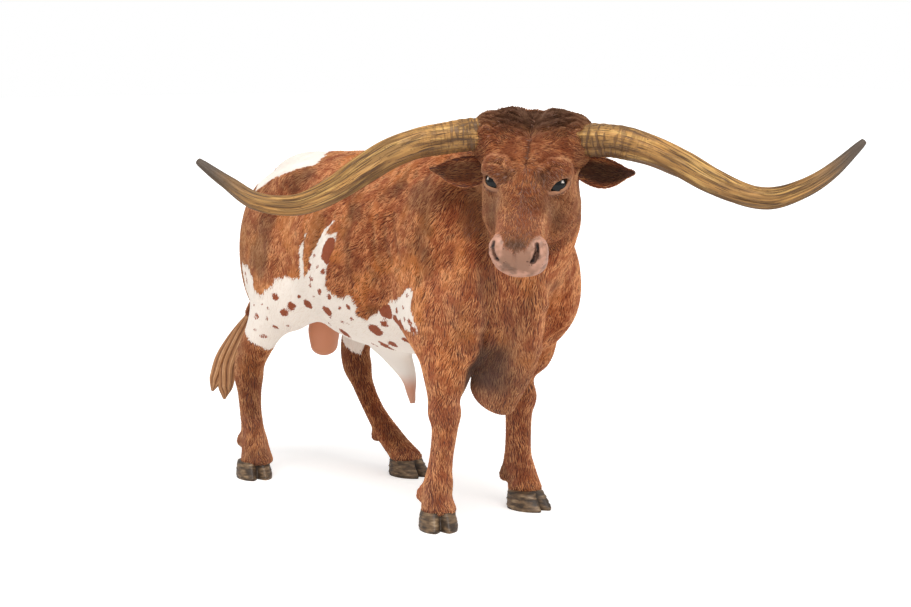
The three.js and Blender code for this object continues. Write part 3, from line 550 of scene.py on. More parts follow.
def net_of(field, low, high, cell, coarse=4):
    """A closed net of four-sided faces where the field is zero, with one point in each crossed cell."""
    size = np.ceil((np.array(high) - low) / cell / coarse).astype(int) * coarse + 1
    grid = np.stack(np.meshgrid(*[np.arange(n) for n in size], indexing="ij"), -1)
    rough = grid[::coarse, ::coarse, ::coarse]
    rough_value = field(rough.reshape(-1, 3) * cell + low).reshape(rough.shape[:3])
    for axis in range(3):
        rough_value = np.repeat(rough_value, coarse, axis=axis)
    values = rough_value[: size[0], : size[1], : size[2]].copy()
    near = np.abs(values) < cell * coarse * 1.5
    values[near] = field(grid[near] * cell + low)
    for axis in range(3):
        for face in (0, -1):
            np.moveaxis(values, axis, 0)[face] = cell

    inside = values < 0
    cells = tuple(n - 1 for n in size)
    total = np.zeros((*cells, 3))
    count = np.zeros(cells)
    corners = [(i, j, k) for i in (0, 1) for j in (0, 1) for k in (0, 1)]

    def at_corner(array, c):
        return array[c[0] : c[0] + cells[0], c[1] : c[1] + cells[1], c[2] : c[2] + cells[2]]

    for c in corners:
        for axis in range(3):
            if c[axis]:
                continue
            end = tuple(v + (a == axis) for a, v in enumerate(c))
            v0, v1 = at_corner(values, c), at_corner(values, end)
            crossed = (v0 < 0) != (v1 < 0)
            share = v0[crossed] / (v0[crossed] - v1[crossed])
            point = np.tile(np.array(c, float), (len(share), 1))
            point[:, axis] += share
            total[crossed] += point
            count[crossed] += 1
    used = count > 0
    index = np.full(cells, -1)
    index[used] = np.arange(used.sum())
    where = np.argwhere(used)
    points = (where + total[used] / count[used][:, None]) * cell + low

    faces = []
    for axis in range(3):
        u, w = (axis + 1) % 3, (axis + 2) % 3
        span = [slice(1, n - 1) for n in size]
        span[axis] = slice(0, size[axis] - 1)
        ahead = list(span)
        ahead[axis] = slice(1, size[axis])
        here, there = inside[tuple(span)], inside[tuple(ahead)]
        edge = np.argwhere(here != there) + [s.start for s in span]
        ring = []
        for a, b in ((0, 0), (1, 0), (1, 1), (0, 1)):
            cell_of = edge.copy()
            cell_of[:, u] -= a
            cell_of[:, w] -= b
            ring.append(index[tuple(cell_of.T)])
        ring = np.stack(ring, 1)
        away = ~inside[tuple(edge.T)]
        ring[away] = ring[away][:, ::-1]
        faces.append(ring)
    return points, np.concatenate(faces)


# Paint: where each colour lies, as masks over points in the bull's frame

# The white of the right flank, seen from the side (y, z), clockwise from the back of the thigh
WHITE_SIDE = [
    (40, 49), (35.2, 48.2), (32.7, 45.6), (31.4, 43.7), (28.6, 42.4), (26.6, 44.1), (24.1, 44.8),
    (23.9, 46.5), (21.1, 47.2), (15.4, 47), (14.9, 53.6), (12.5, 56.9), (13.4, 52.5), (12.9, 47.6),
    (11.2, 48.6), (10.2, 51.4), (7.3, 54.9), (5.6, 57.9), (2.4, 60.6), (4.4, 57.6), (2.7, 57.4),
    (0, 58.2), (0.6, 55), (2.6, 52), (3.8, 49.6), (4.3, 46.3), (0.2, 43.8), (-4.1, 45.3),
    (-5.5, 43), (-4.3, 41.2), (-7, 39.8), (-10, 41.7), (-13.2, 44), (-19.3, 45.9), (-25.8, 48.9),
    (-26.9, 47.3), (-26.2, 44.8), (-26.8, 42.1), (-29.3, 37.6), (-28, 30), (-22, 24), (20, 20),
    (26, 26), (30, 28.2), (34, 30.6), (40, 34.5),
]  # fmt: skip
# The white on top of the rump, seen from above (x, y)
WHITE_RUMP = [
    (-13.6, 37), (-14.6, 25), (-12, 21.2), (-8, 19.8), (-5, 21), (0, 27), (4, 24), (8, 23),
    (11, 27), (12, 35), (8, 40), (0, 42), (-8, 41),
]  # fmt: skip
# The height above which white is that of the rump, and the room that each scattered spot has
RUMP_FROM, SPOT_CELL = 60, 3.1
# Brown spots on the right side's white: (y, z, radius)
SPOTS = [
    (3.2, 53.7, 1.25), (38.1, 45.9, 0.28), (37.9, 44.1, 0.32), (32.7, 39.7, 0.25), (29.1, 40.2, 0.25),
    (32, 37.2, 0.55), (28.5, 36.7, 0.42), (33.3, 34, 0.42), (31.3, 32.6, 0.55), (26.9, 39.3, 0.32),
    (22.7, 38.6, 0.55), (23.9, 42.2, 0.65), (20.2, 40.4, 0.6), (17.4, 42.7, 0.34), (15.3, 41.2, 0.9),
    (32.7, 29.5, 0.25), (27, 34.9, 0.45), (7.7, 44.6, 0.45), (4.4, 43.9, 0.45), (7.1, 40.6, 0.9),
    (11.1, 43.3, 0.3), (11.1, 45.8, 0.45), (10.3, 47.4, 0.45), (11, 50, 0.65), (7.3, 50.1, 0.32),
    (5.5, 49.3, 0.45), (8.6, 52.4, 0.26), (3.4, 38.5, 0.42), (6.7, 35.4, 0.75), (1.7, 41.7, 0.38),
    (-1.7, 42.3, 0.5), (10, 37.2, 0.38), (7.2, 39.1, 0.25), (-1.2, 39.7, 0.25), (-6.1, 38.4, 0.32),
    (-7.5, 37.8, 1.15), (-13.8, 42.5, 1.1), (-11.6, 39.5, 0.65), (-19.1, 43.2, 0.45),
    (-16.9, 41, 0.85), (-19.4, 39.4, 1.35), (-15, 36.3, 0.6), (-9.3, 34.8, 0.6), (-5.4, 33.9, 0.7),
    (-1, 33.5, 0.35), (-21.5, 37.2, 0.8), (-27.1, 37.3, 0.75), (-26.4, 39.9, 0.65),
    (-25.1, 41.6, 0.55), (-24.6, 46.9, 0.42),
]  # fmt: skip
# Numbers without a pattern, which mix up whole ones
MIXERS, SEED_MIXER, SPREAD = np.array([127.1, 311.7, 74.7]), 17.3, 43758.5453


def hashed(cells, seed):
    """A steady random number from 0 to 1 for each row of three whole numbers."""
    mixed = np.sin(cells @ MIXERS + seed * SEED_MIXER) * SPREAD
    return mixed - np.floor(mixed)


def noise(p, scale, seed=0):
    """Smooth noise from -1 to 1 at points, with cells of this size."""
    q = p / scale
    cell = np.floor(q)
    f = q - cell
    f = f * f * (3 - 2 * f)
    total = np.zeros(len(p))
    for corner in np.ndindex(2, 2, 2):
        weight = np.prod(np.where(corner, f, 1 - f), axis=1)
        total += weight * hashed(cell + corner, seed)
    return total * 2 - 1


def outline_distance(p, outline):
    """Signed distance in a plane from points to an outline, negative inside."""
    outline = np.array([*outline, outline[0]], float)
    inside = np.zeros(len(p), bool)
    for a, b in zip(outline[:-1], outline[1:]):
        across, rise = b - a
        spans = (a[1] > p[:, 1]) != (b[1] > p[:, 1])
        crossing = a[0] + (p[:, 1] - a[1]) * across / (rise or 1e-9)
        inside ^= spans & (p[:, 0] < crossing)
    away = line_distance(p, outline)
    return np.where(inside, -away, away)


def white_depth(p):
    """How far inside the white a point is, in mm. The edges wander as a brush does."""
    x, y, z = p.T
    wobble = noise(p, 2.2, 3) * 0.4 + noise(p, 0.7, 5) * 0.2
    drop = np.where((x > 0) & (x < 13.2) & (y > 24), 5.5, 0)
    mirror = np.where(x > 0, 1.2 + 1.5 * noise(p, 9, 8), 0)
    side = outline_distance(np.stack([y + mirror, z + drop], 1), WHITE_SIDE) + wobble
    top = outline_distance(np.stack([x, y], 1), WHITE_RUMP) + wobble
    rim = np.interp(y, (17, 21.5, 25.5, 31.5, 36.7, 41), (72, 69.9, 68.7, 67.4, 64.9, 62.5))
    top = np.maximum(top, rim - z + wobble)
    shaft = np.maximum(25.5 - z, np.minimum(np.where(x > 6, -12.5, -19) - y, 40 - z) - 1.5 * (x > 0))
    sheath = np.maximum(z - 32, np.maximum(np.abs(x) - 5, np.abs(y - 3) - 9))
    return -np.minimum.reduce([np.maximum(side, shaft), top, sheath])


def spot_depth(p):
    """How far inside a brown spot a point is. The large spots are placed, and small ones scattered."""
    x, y, z = p.T
    wobble = noise(p, 0.8, 11) * 0.26
    spots = np.full(len(p), 9.0)
    lean = np.where(x > 0, 1.4, 0)
    for n, (sy, sz, radius) in enumerate(SPOTS):
        tall = 2.0 if n == 0 else 0.9 + 0.5 * hashed(np.array([[n, 1, 2]]), 4)[0]
        dy, dz = y - sy + lean, z - sz + lean * 0.6
        dy, dz = dy + 0.35 * dz, dz - 0.15 * dy
        spots = np.minimum(spots, np.hypot(dy * 0.66, dz / tall) - 1.22 * radius)
    cell = np.floor(p / SPOT_CELL)
    jitter = np.stack([hashed(cell, s) for s in (21, 22, 23)], 1)
    centre = (cell + 0.3 + 0.4 * jitter) * SPOT_CELL
    size = np.where(hashed(cell, 24) > 0.6, 0.2 + 0.35 * hashed(cell, 25) ** 2, -1)
    small = np.linalg.norm((p - centre) * (1, 0.7, 1), axis=1) - size
    dashes = np.linalg.norm((p - centre) * (1.3, 0.5, 1), axis=1) - 0.8 * size
    small = np.where(z > RUMP_FROM, dashes, small)
    return -np.maximum(np.minimum(spots, small) + wobble, 31 - z)


def muzzle_depth(p):
    """How far inside the muzzle's bare skin a point is. Hair reaches down over its middle."""
    x, y, z = head_place(p).T
    tuft = smooth_step(3.7, 1.7, np.abs(x - 0.3)) * smooth_step(-4.2, -2.2, z)
    edge = y + 26 - 0.3 * np.abs(x) + 2.9 * tuft + 0.3 * noise(p, 0.8, 31)
    return -np.maximum.reduce([edge, -13.5 - z, -HEAD_LONG - y, np.abs(x) - 9])


def pink_mask(p):
    """1 on the scrotum and the muzzle, fading in at the sheath's tip."""
    x, y, z = p.T
    bag = smooth_step(39.5, 38.5, z) * (np.abs(x) < 6) * (np.hypot(y - 30, x) < 6.2)
    tip = smooth_step(27.5, 23.5, z) * (np.abs(x) < 4) * (np.abs(y + 1) < 5) * 0.9
    return np.maximum.reduce([bag, tip, smooth_step(-0.2, 0.2, muzzle_depth(p))])


def skin_tone(p):
    """How pale the bare skin is: the rims of the nostrils and the lips, and the raised folds."""
    x, _, z = head_place(p).T
    wings = smooth_step(1.2, 4.4, np.abs(x - 0.3))
    lips = smooth_step(-4.6, -8, z)
    muzzle = np.maximum(wings, lips) * 0.9 + 0.35 * noise(p, 1.3, 73) + 0.2 * noise(p, 0.5, 74)
    folds = 0.45 - 1.3 * carving(p) + 0.2 * noise(p, 1.5, 75)
    return np.clip(np.where(muzzle_depth(p) > 0, muzzle, folds), 0, 1)


def sheath_mask(p):
    x, y, z = p.T
    return smooth_step(32.5, 31.5, z) * (np.abs(x) < 5) * (np.abs(y - 3) < 9)


def face_share(q):
    """1 on the head, fading out behind the poll and along the horns."""
    return smooth_step(7, 3, q[:, 1]) * smooth_step(16, 12, np.abs(q[:, 0])) * (q[:, 2] > -17)


def in_head_box(q, low, high=np.inf):
    x, y, z = q.T
    return (y < 4) & (y > -HEAD_LONG) & (np.abs(x) < HEAD_HALF) & (z > low) & (z < high)


def blot(q, x, y, radius):
    """A soft round patch on both sides of the face, seen from above the forehead."""
    return np.exp(-((np.abs(q[:, 0]) - x) ** 2 + (q[:, 1] - y) ** 2) / radius**2)


def dark_mask(p):
    """Where the coat is painted darker: on the head and brisket, with painted shade on the sides of the
    head, in the carved folds, towards the rump and low on the body.
    """
    x, y, z = p.T
    q = head_place(p)
    hx, hy, hz = q.T
    on_head = face_share(q) * (hy > -HEAD_LONG)
    poll = smooth_step(-5, 0, hy) * smooth_step(-5, -1.5, hz)
    poll *= 0.8 + 0.2 * smooth_step(9, 5, np.abs(hx))
    # Painted shade: the sides of the head darker than the forehead
    temples = smooth_step(8, 10, np.abs(hx)) * 0.35
    nose_sides, brow, cheeks = blot(q, 5.6, -17.6, 2.6), blot(q, 3.4, -12.6, 1.5), blot(q, 8, -14, 3)
    patches = 0.7 * nose_sides + 0.75 * brow + 0.3 * cheeks
    tip = blot(q, 0.6, -28.4, 1.9) + 0.25 * smooth_step(-22, -26, hy)
    head = on_head * np.maximum.reduce([poll, temples, patches * smooth_step(-12, -8, hz), tip])
    brisket = smooth_step(41, 36, z) * (y < -24) * smooth_step(7, 5.5, np.abs(x + 3.6))
    brisket *= 0.4 + 0.55 * smooth_step(25, 19, 0.79 * x - 0.61 * y) * smooth_step(25, 30, z)
    stains = 0.36 * smooth_step(0.15, 0.7, noise(p, 7.5, 47)) * (1 - on_head)
    # Painted shade: darker towards the rump, and low on the body and legs
    behind = 0.28 * smooth_step(26, 40, y) + 0.18 * smooth_step(36, 26, z)
    behind += 0.2 * smooth_step(12, 26, y) * smooth_step(38, 48, z)
    # Painted shade in the carved folds and cuts
    folds = smooth_step(0.05, 0.5, carving(p)) * 0.42
    dark = np.maximum.reduce([head, brisket, stains, folds, behind])
    return np.clip(dark + 0.12 * noise(p, 5, 41), 0, 1)


def red_mask(p):
    """Where the coat is redder: legs, head and the front of the neck.

    On bare skin it is 1 on the scrotum and 0 on the muzzle, which tells them apart.
    """
    _, y, z = p.T
    legs = smooth_step(40, 30, z) * 0.75
    front = smooth_step(-34, -42, y) * smooth_step(72, 60, z) * 0.5
    head = face_share(head_place(p)) * 0.85
    bag = (pink_mask(p) > 0.5) * (y > 0)
    red = np.maximum.reduce([legs, front, head]) + 0.2 * noise(p, 8, 43)
    return np.clip(np.where(bag, 1, red), 0, 1) * (muzzle_depth(p) < 0)


def tan_mask(p):
    """The pale rims of the eyes, and a thin dusty coat on the whole face."""
    q = head_place(p)
    rim = 0.4 * face_share(q)
    for s in (LEFT, RIGHT):
        d = q - eye_centre(s)
        gaze, corners, up = eye_axes(s)
        a, b = d @ corners, d @ up
        almond = np.hypot(a / 2.9, b / 1.3)
        brow = 0.5 * np.exp(-((a - 0.8) ** 2 / 6 + (b - 2.2) ** 2 / 1.6))
        near = (d @ gaze > -0.5) * (np.linalg.norm(d, axis=1) < 5)
        rim = np.maximum(rim, np.maximum(smooth_step(1.3, 0.95, almond), brow) * near)
    return rim


def hollow_mask(p):
    """1 deep in the nostrils."""
    q = head_place(p)
    deep = np.zeros(len(p))
    near = (q[:, 1] < -24) & (np.abs(q[:, 0]) < 9) & (q[:, 2] > -14)
    for s in (LEFT, RIGHT):
        deep[near] = np.maximum(deep[near], smooth_step(0.2, 0.0, nostril(s)["at"](q[near])))
    return deep


MASKS = {
    "white": lambda p: np.clip(white_depth(p), -2, 2),
    "spot": lambda p: np.clip(spot_depth(p), -2, 2),
    "pink": pink_mask,
    "dark": dark_mask,
    "red": red_mask,
    "tan": tan_mask,
    "hollow": hollow_mask,
}


# The lie of the coat: places (x, y, z) on the left side, and the direction (x, y, z) there

LIE_BODY = [
    ((0, -30, 76), (0, 1, -0.1)), ((8, -45, 68), (0.2, 0.5, -0.8)),
    ((12, -38, 60), (0.1, 0.6, -0.8)), ((8, -46, 50), (0, 0.25, -1)), ((0, -48, 45), (0, 0.1, -1)),
    ((14, -28, 60), (0, 0.5, -0.85)), ((16, -26, 44), (0, 0.2, -1)),
    ((12, -16, 70), (0.3, 0.8, -0.5)), ((17, -8, 52), (0, 0.78, -0.62)),
    ((17, 8, 52), (0, 0.75, -0.66)), ((0, 0, 74), (0, 1, 0)), ((12, 22, 68), (0.3, 0.7, -0.6)),
    ((16, 24, 54), (0, 0.35, -0.94)), ((12, 38, 56), (0, 0.35, -0.94)), ((4, 46, 58), (0, 0.2, -1)),
    ((0, 40, 70), (0, 1, -0.5)), ((0, 49, 50), (0, 0, -1)), ((15, 30, 38), (0, 0.15, -1)),
    ((12, 15, 38), (0, 0.8, -0.35)), ((0, 0, 32), (0, 1, 0)), ((6, -20, 34), (0, 1, -0.1)),
    ((13, -28, 25), (0, 0, -1)), ((14, 36, 22), (0, 0, -1)), ((13, -28, 8), (0, -0.15, -1)),
    ((14, 36, 8), (0, -0.15, -1)),
]
LIE_HEAD = [
    ((0, 4, -2), (0, 1, -0.4)), ((5, 3, -2), (0.8, 0.6, -0.3)), ((0.5, -2, 0), (0.9, 0.5, 0)),
    ((4, -3, 0), (1, 0.25, 0)), ((8, -3, -3), (1, -0.1, -0.6)), ((0.6, -8, 0), (0.9, 0.1, 0)),
    ((4, -9, -0.5), (0.9, -0.25, -0.2)), ((0.4, -14, -0.4), (0.25, -1, 0)),
    ((2.5, -16, -0.8), (0.5, -0.9, -0.2)), ((0.3, -23, -1.5), (0.1, -1, -0.1)),
    ((5, -20, -4), (0.4, -0.8, -0.6)), ((8, -10, -8), (0.2, -0.3, -1)),
    ((8, -14, -12), (0, 0.2, -1)), ((5, -22, -8), (0, -0.3, -1)), ((0, -14, -16), (0, 0.6, -0.2)),
]


def blended_direction(p, anchors, reach):
    """The direction at each point, from the anchors near it on the same side."""
    total = np.zeros_like(p)
    place = np.concatenate([np.abs(p[:, :1]), p[:, 1:]], 1)
    for at, toward in anchors:
        weight = 1 / (((place - at) ** 2).sum(1) / reach**2 + 0.05) ** 2
        total += weight[:, None] * unit(np.array(toward, float))
    total[:, :1] *= np.sign(p[:, :1])
    return unit(total)


def lie_of_coat(p, up):
    """The tangent along which the carved strokes run."""
    body = blended_direction(p, LIE_BODY, 6.0)
    q = head_place(p)
    x, y, z = q.T
    head = blended_direction(q, LIE_HEAD, 2.0) @ HEAD_FRAME[:3, :3].T
    share = smooth_step(6, 2, y) * smooth_step(-17, -14, z) * smooth_step(15, 11, np.abs(x))
    direction = body * (1 - share[:, None]) + head * share[:, None]
    direction = unit(direction - (direction * up).sum(1, keepdims=True) * up)
    curly = 1 + 1.2 * share * smooth_step(-16, -8, y)
    wave = (0.42 * noise(p, 2.4, 61) + 0.3 * noise(p, 1.1, 62)) * curly
    return direction * np.cos(wave)[:, None] + np.cross(up, direction) * np.sin(wave)[:, None]


# The size below which a stroke isn't carved at all
LEAST_STROKE = 0.25


def stroke_size(p):
    """How long the strokes are at a place, as a share of the flank's; none on bare skin."""
    q = head_place(p)
    back = q[:, 1]
    on_head = in_head_box(q, -17)
    size = 1.0 - 0.2 * smooth_step(34, 24, p[:, 2])
    size = np.where(on_head, 0.62 + 0.3 * smooth_step(-12, -2, back), size)
    size = np.where(on_head & (back < -18), 0.5, size)
    bare = (pink_mask(p) > 0.5) | (sheath_mask(p) > 0.4) | (hollow_mask(p) > 0.2)
    eyelid = tan_mask(p) > 0.75
    return np.where(bare | eyelid, 0.0, size)


def stroke_lift(p):
    """How far strokes stand proud at a place, as a share of the flank's."""
    x, y, z = p.T
    hx, hy, hz = head_place(p).T
    poll = smooth_step(-7, 0, hy) * (hz > -6) * (np.abs(hx) < 12) * (z > 72)
    lift = np.where(hy < -20, 0.6, 1 + 0.4 * poll)
    lift = np.where((z < 38) & (y < -30) & (np.abs(x + 2.5) < 6), 0.5, lift)
    return np.where(white_depth(p) > 0, 0.45, lift)


REGIONS = ("head", "neck", "flank_right", "flank_left", "rump_right", "rump_left", "forelegs",
           "hind_legs", "tail", "shoulder_right", "shoulder_left")


def region_of(p):
    """The number in REGIONS of the part of the coat that each point belongs to."""
    x, y, z = p.T
    left = (x >= 0).astype(int)
    inside = {
        "head": in_head_box(head_place(p), -16.5) & (y < -30),
        "tail": (y > 47.5) & (np.abs(x + 2) < 5),
        "hind_legs": (z < 37) & (y > 12) & (np.abs(x) > 6),
        "forelegs": (z < 40) & (y < -10) & (np.abs(x) > 7),
        "neck": y < -34.5,
        "shoulder_right": y < -12,
        "rump_right": y > 14,
    }
    numbers = [REGIONS.index(name) + left * name.endswith("_right") for name in inside]
    return np.select(list(inside.values()), numbers, REGIONS.index("flank_right") + left)


# Meshes and node trees


def new_object(name, data):
    """An object at the scene's origin."""
    piece = bpy.data.objects.new(name, data)
    bpy.context.scene.collection.objects.link(piece)
    return piece


def mesh_object(name, points, faces):
    """A piece from points in metres, with its place in its mesh."""
    mesh = bpy.data.meshes.new(name)
    mesh.from_pydata([tuple(p) for p in points], [], [tuple(int(i) for i in f) for f in faces])
    return new_object(name, mesh)


def read(items, field, width=3):
    """A field of all the points, faces or values of a mesh, one row for each."""
    values = np.empty(len(items) * width)
    items.foreach_get(field, values)
    return values.reshape(-1, width)


def keep(mesh, name, values, kind="FLOAT", domain="POINT"):
    """Stores an attribute on a mesh."""
    attribute = mesh.attributes.get(name) or mesh.attributes.new(name, kind, domain)
    field = "vector" if kind == "FLOAT_VECTOR" else "value"
    value_type = np.int32 if kind == "INT" else np.float32
    attribute.data.foreach_set(field, np.asarray(values, value_type).ravel())


def finish_piece(piece, material, slot, *nodes):
    """Paints a piece, hangs it on the root body and hides the parts that it stands for; the slot is not
    used.
    """
    if material:
        piece.data.materials.append(material)
    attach(piece, "root")
    if nodes:
        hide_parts(*nodes)


class Nodes:
    """A node tree being drawn up. What goes in is a value, or the output of an earlier node."""

    def __init__(self, tree):
        self.tree = tree

    def join(self, node, inputs):
        """Sets some of a node's inputs, given by name or number."""
        sockets = [s for s in node.inputs if s.enabled]
        for key, value in inputs.items():
            socket = sockets[key] if isinstance(key, int) else next(s for s in sockets if s.name == key)
            if isinstance(value, bpy.types.NodeSocket):
                self.tree.links.new(value, socket)
            else:
                socket.default_value = value

    def get(self, kind, inputs=None, output=None, **settings):
        """Adds a node and gives its first output, or the one with this name."""
        node = self.tree.nodes.new(kind)
        for name, value in settings.items():
            setattr(node, name, value)
        self.join(node, inputs or {})
        return next(s for s in node.outputs if s.enabled and output in (None, s.name))

    def math(self, operation, a, b):
        return self.get("ShaderNodeMath", {0: a, 1: b}, operation=operation)

    def plus(self, a, b):
        return self.math("ADD", a, b)

    def minus(self, a, b):
        return self.math("SUBTRACT", a, b)

    def times(self, a, b):
        return self.math("MULTIPLY", a, b)

    def larger(self, a, b):
        return self.math("MAXIMUM", a, b)

    def ramp(self, value, low, high, to_low=0.0, to_high=1.0):
        """A smooth step of a value between two limits."""
        inputs = {0: value, 1: low, 2: high, 3: to_low, 4: to_high}
        return self.get("ShaderNodeMapRange", inputs, interpolation_type="SMOOTHSTEP")

    def mix(self, share, a, b):
        """A colour between two, which are sockets or three numbers each."""
        a, b = ((*c, 1.0) if not isinstance(c, bpy.types.NodeSocket) else c for c in (a, b))
        return self.get("ShaderNodeMix", {"Factor": share, "A": a, "B": b}, data_type="RGBA")

    def attribute(self, name, output="Fac"):
        return self.get("ShaderNodeAttribute", output=output, attribute_name=name)

    def place(self, output="Object"):
        return self.get("ShaderNodeTexCoord", output=output)

    def stretched(self, vector, scale):
        return self.get("ShaderNodeMapping", {"Vector": vector, "Scale": scale})

    def noise(self, vector, scale, detail):
        return self.get("ShaderNodeTexNoise", {"Vector": vector, "Scale": scale, "Detail": detail})

    def bump(self, height, strength, distance):
        inputs = {"Height": height, "Strength": strength, "Distance": distance}
        return self.get("ShaderNodeBump", inputs)


def new_group(name, kind, inputs, outputs):
    """A node group: its nodes, its inputs by name, and the node that its outputs go to."""
    n = Nodes(bpy.data.node_groups.new(name, kind))
    new_socket = n.tree.interface.new_socket
    for label, kind, default in inputs:
        socket = new_socket(label, in_out="INPUT", socket_type=f"NodeSocket{kind}")
        if default is not None:
            socket.default_value = default
    for label, kind in outputs:
        new_socket(label, in_out="OUTPUT", socket_type=f"NodeSocket{kind}")
    given = n.tree.nodes.new("NodeGroupInput")
    return n, {s.name: s for s in given.outputs if s.name}, n.tree.nodes.new("NodeGroupOutput")


def new_material(name):
    """A material, its nodes and its shader."""
    material = bpy.data.materials.new(name)
    material.use_nodes = True
    return material, Nodes(material.node_tree), material.node_tree.nodes["Principled BSDF"]


# The skin

SKIN_BOX = ((-31.0, -78.0, 2.4), (26.0, 60.0, 88.0))


def refined(mesh, wanted, cell):
    """Halves the faces whose middles are wanted, and draws the new points onto the skin."""
    bm = bmesh.new()
    bm.from_mesh(mesh)
    chosen = wanted(from_metres(np.array([f.calc_center_median()[:] for f in bm.faces])))
    edges = {e for face, yes in zip(bm.faces, chosen) if yes for e in face.edges}
    bmesh.ops.subdivide_edges(bm, edges=list(edges), cuts=1, use_grid_fill=True)
    bm.to_mesh(mesh)
    bm.free()
    points = from_metres(read(mesh.vertices, "co"))
    near = wanted(points)
    points[near] = drawn_onto(skin_field, points[near], cell * 0.5)
    mesh.vertices.foreach_set("co", to_metres(points).ravel())
    mesh.update()


def on_head(p):
    return in_head_box(head_place(p), -16, 6)


def on_face(p):
    """The muzzle and round the eyes."""
    x, y, z = head_place(p).T
    eyes = np.abs(np.abs(x) - EYE["at"][0]) < 4.2
    eyes &= (np.abs(y - EYE["at"][1]) < 4.2) & (z > -8)
    muzzle = (y < -24.5) & (y > -HEAD_LONG) & (np.abs(x) < 8) & (z > -13)
    return (eyes | muzzle) & (p[:, 2] > 45)


def on_eyes(p):
    q = head_place(p)
    away = [np.linalg.norm(q - eye_centre(s), axis=1) for s in (LEFT, RIGHT)]
    return (np.minimum(*away) < 3.6) & (p[:, 2] > 60)


def skin_mesh(cell):
    points, faces = net_of(skin_field, *SKIN_BOX, cell)
    points = drawn_onto(skin_field, points, cell * 0.5)
    piece = mesh_object("skin", to_metres(points), faces)
    for halvings, wanted in enumerate((on_head, on_face, on_eyes), 1):
        refined(piece.data, wanted, cell / 2**halvings)
    piece.data.shade_smooth()
    return piece


def paint_masks(mesh, p):
    for name, mask in MASKS.items():
        keep(mesh, name, mask(p))


def prepare_for_coat(mesh):
    """Stores on a skin what its coat needs: the lie, the size of the strokes and the regions."""
    p = from_metres(read(mesh.vertices, "co"))
    up = read(mesh.vertices, "normal")
    keep(mesh, "up", up, "FLOAT_VECTOR")
    keep(mesh, "lie", lie_of_coat(p, up), "FLOAT_VECTOR")
    keep(mesh, "stroke", stroke_size(p))
    keep(mesh, "lift", stroke_lift(p))
    keep(mesh, "region", region_of(from_metres(read(mesh.polygons, "center"))), "INT", "FACE")
    return p


# The coat: carved strokes, each a low closed ridge that tapers to its tip


def stroke_shape():
    """One stroke, 1 long and 1 wide and flat. Its height comes with the attribute 'ridge'."""
    points = [(-0.3, 0, 0), (0.15, -0.5, 0), (0.2, 0, 0), (0.15, 0.5, 0), (0.7, 0, 0)]
    faces = [(0, 1, 2), (0, 2, 3), (1, 4, 2), (2, 4, 3), (0, 3, 1), (1, 3, 4)]
    piece = mesh_object("stroke_shape", points, faces)
    keep(piece.data, "ridge", [-0.4, -0.5, 1.0, -0.5, 0.3])
    keep(piece.data, "length", [p[0] for p in points])
    keep(piece.data, "breadth", [p[1] for p in points])
    return piece


# What the coat's nodes are given: name, kind and default
COAT_INPUTS = [
    ("Skin", "Geometry", None), ("Stroke", "Object", None), ("Region", "Int", 0),
    ("Spacing", "Float", 0.0006), ("Length", "Float", 0.0024), ("Width", "Float", 0.0006),
    ("Height", "Float", 0.00016), ("Waywardness", "Float", 0.2), ("Seed", "Int", 1),
    ("Material", "Material", None),
]
# More strokes in a square metre than the spacing ever lets through
DENSEST = 2e7


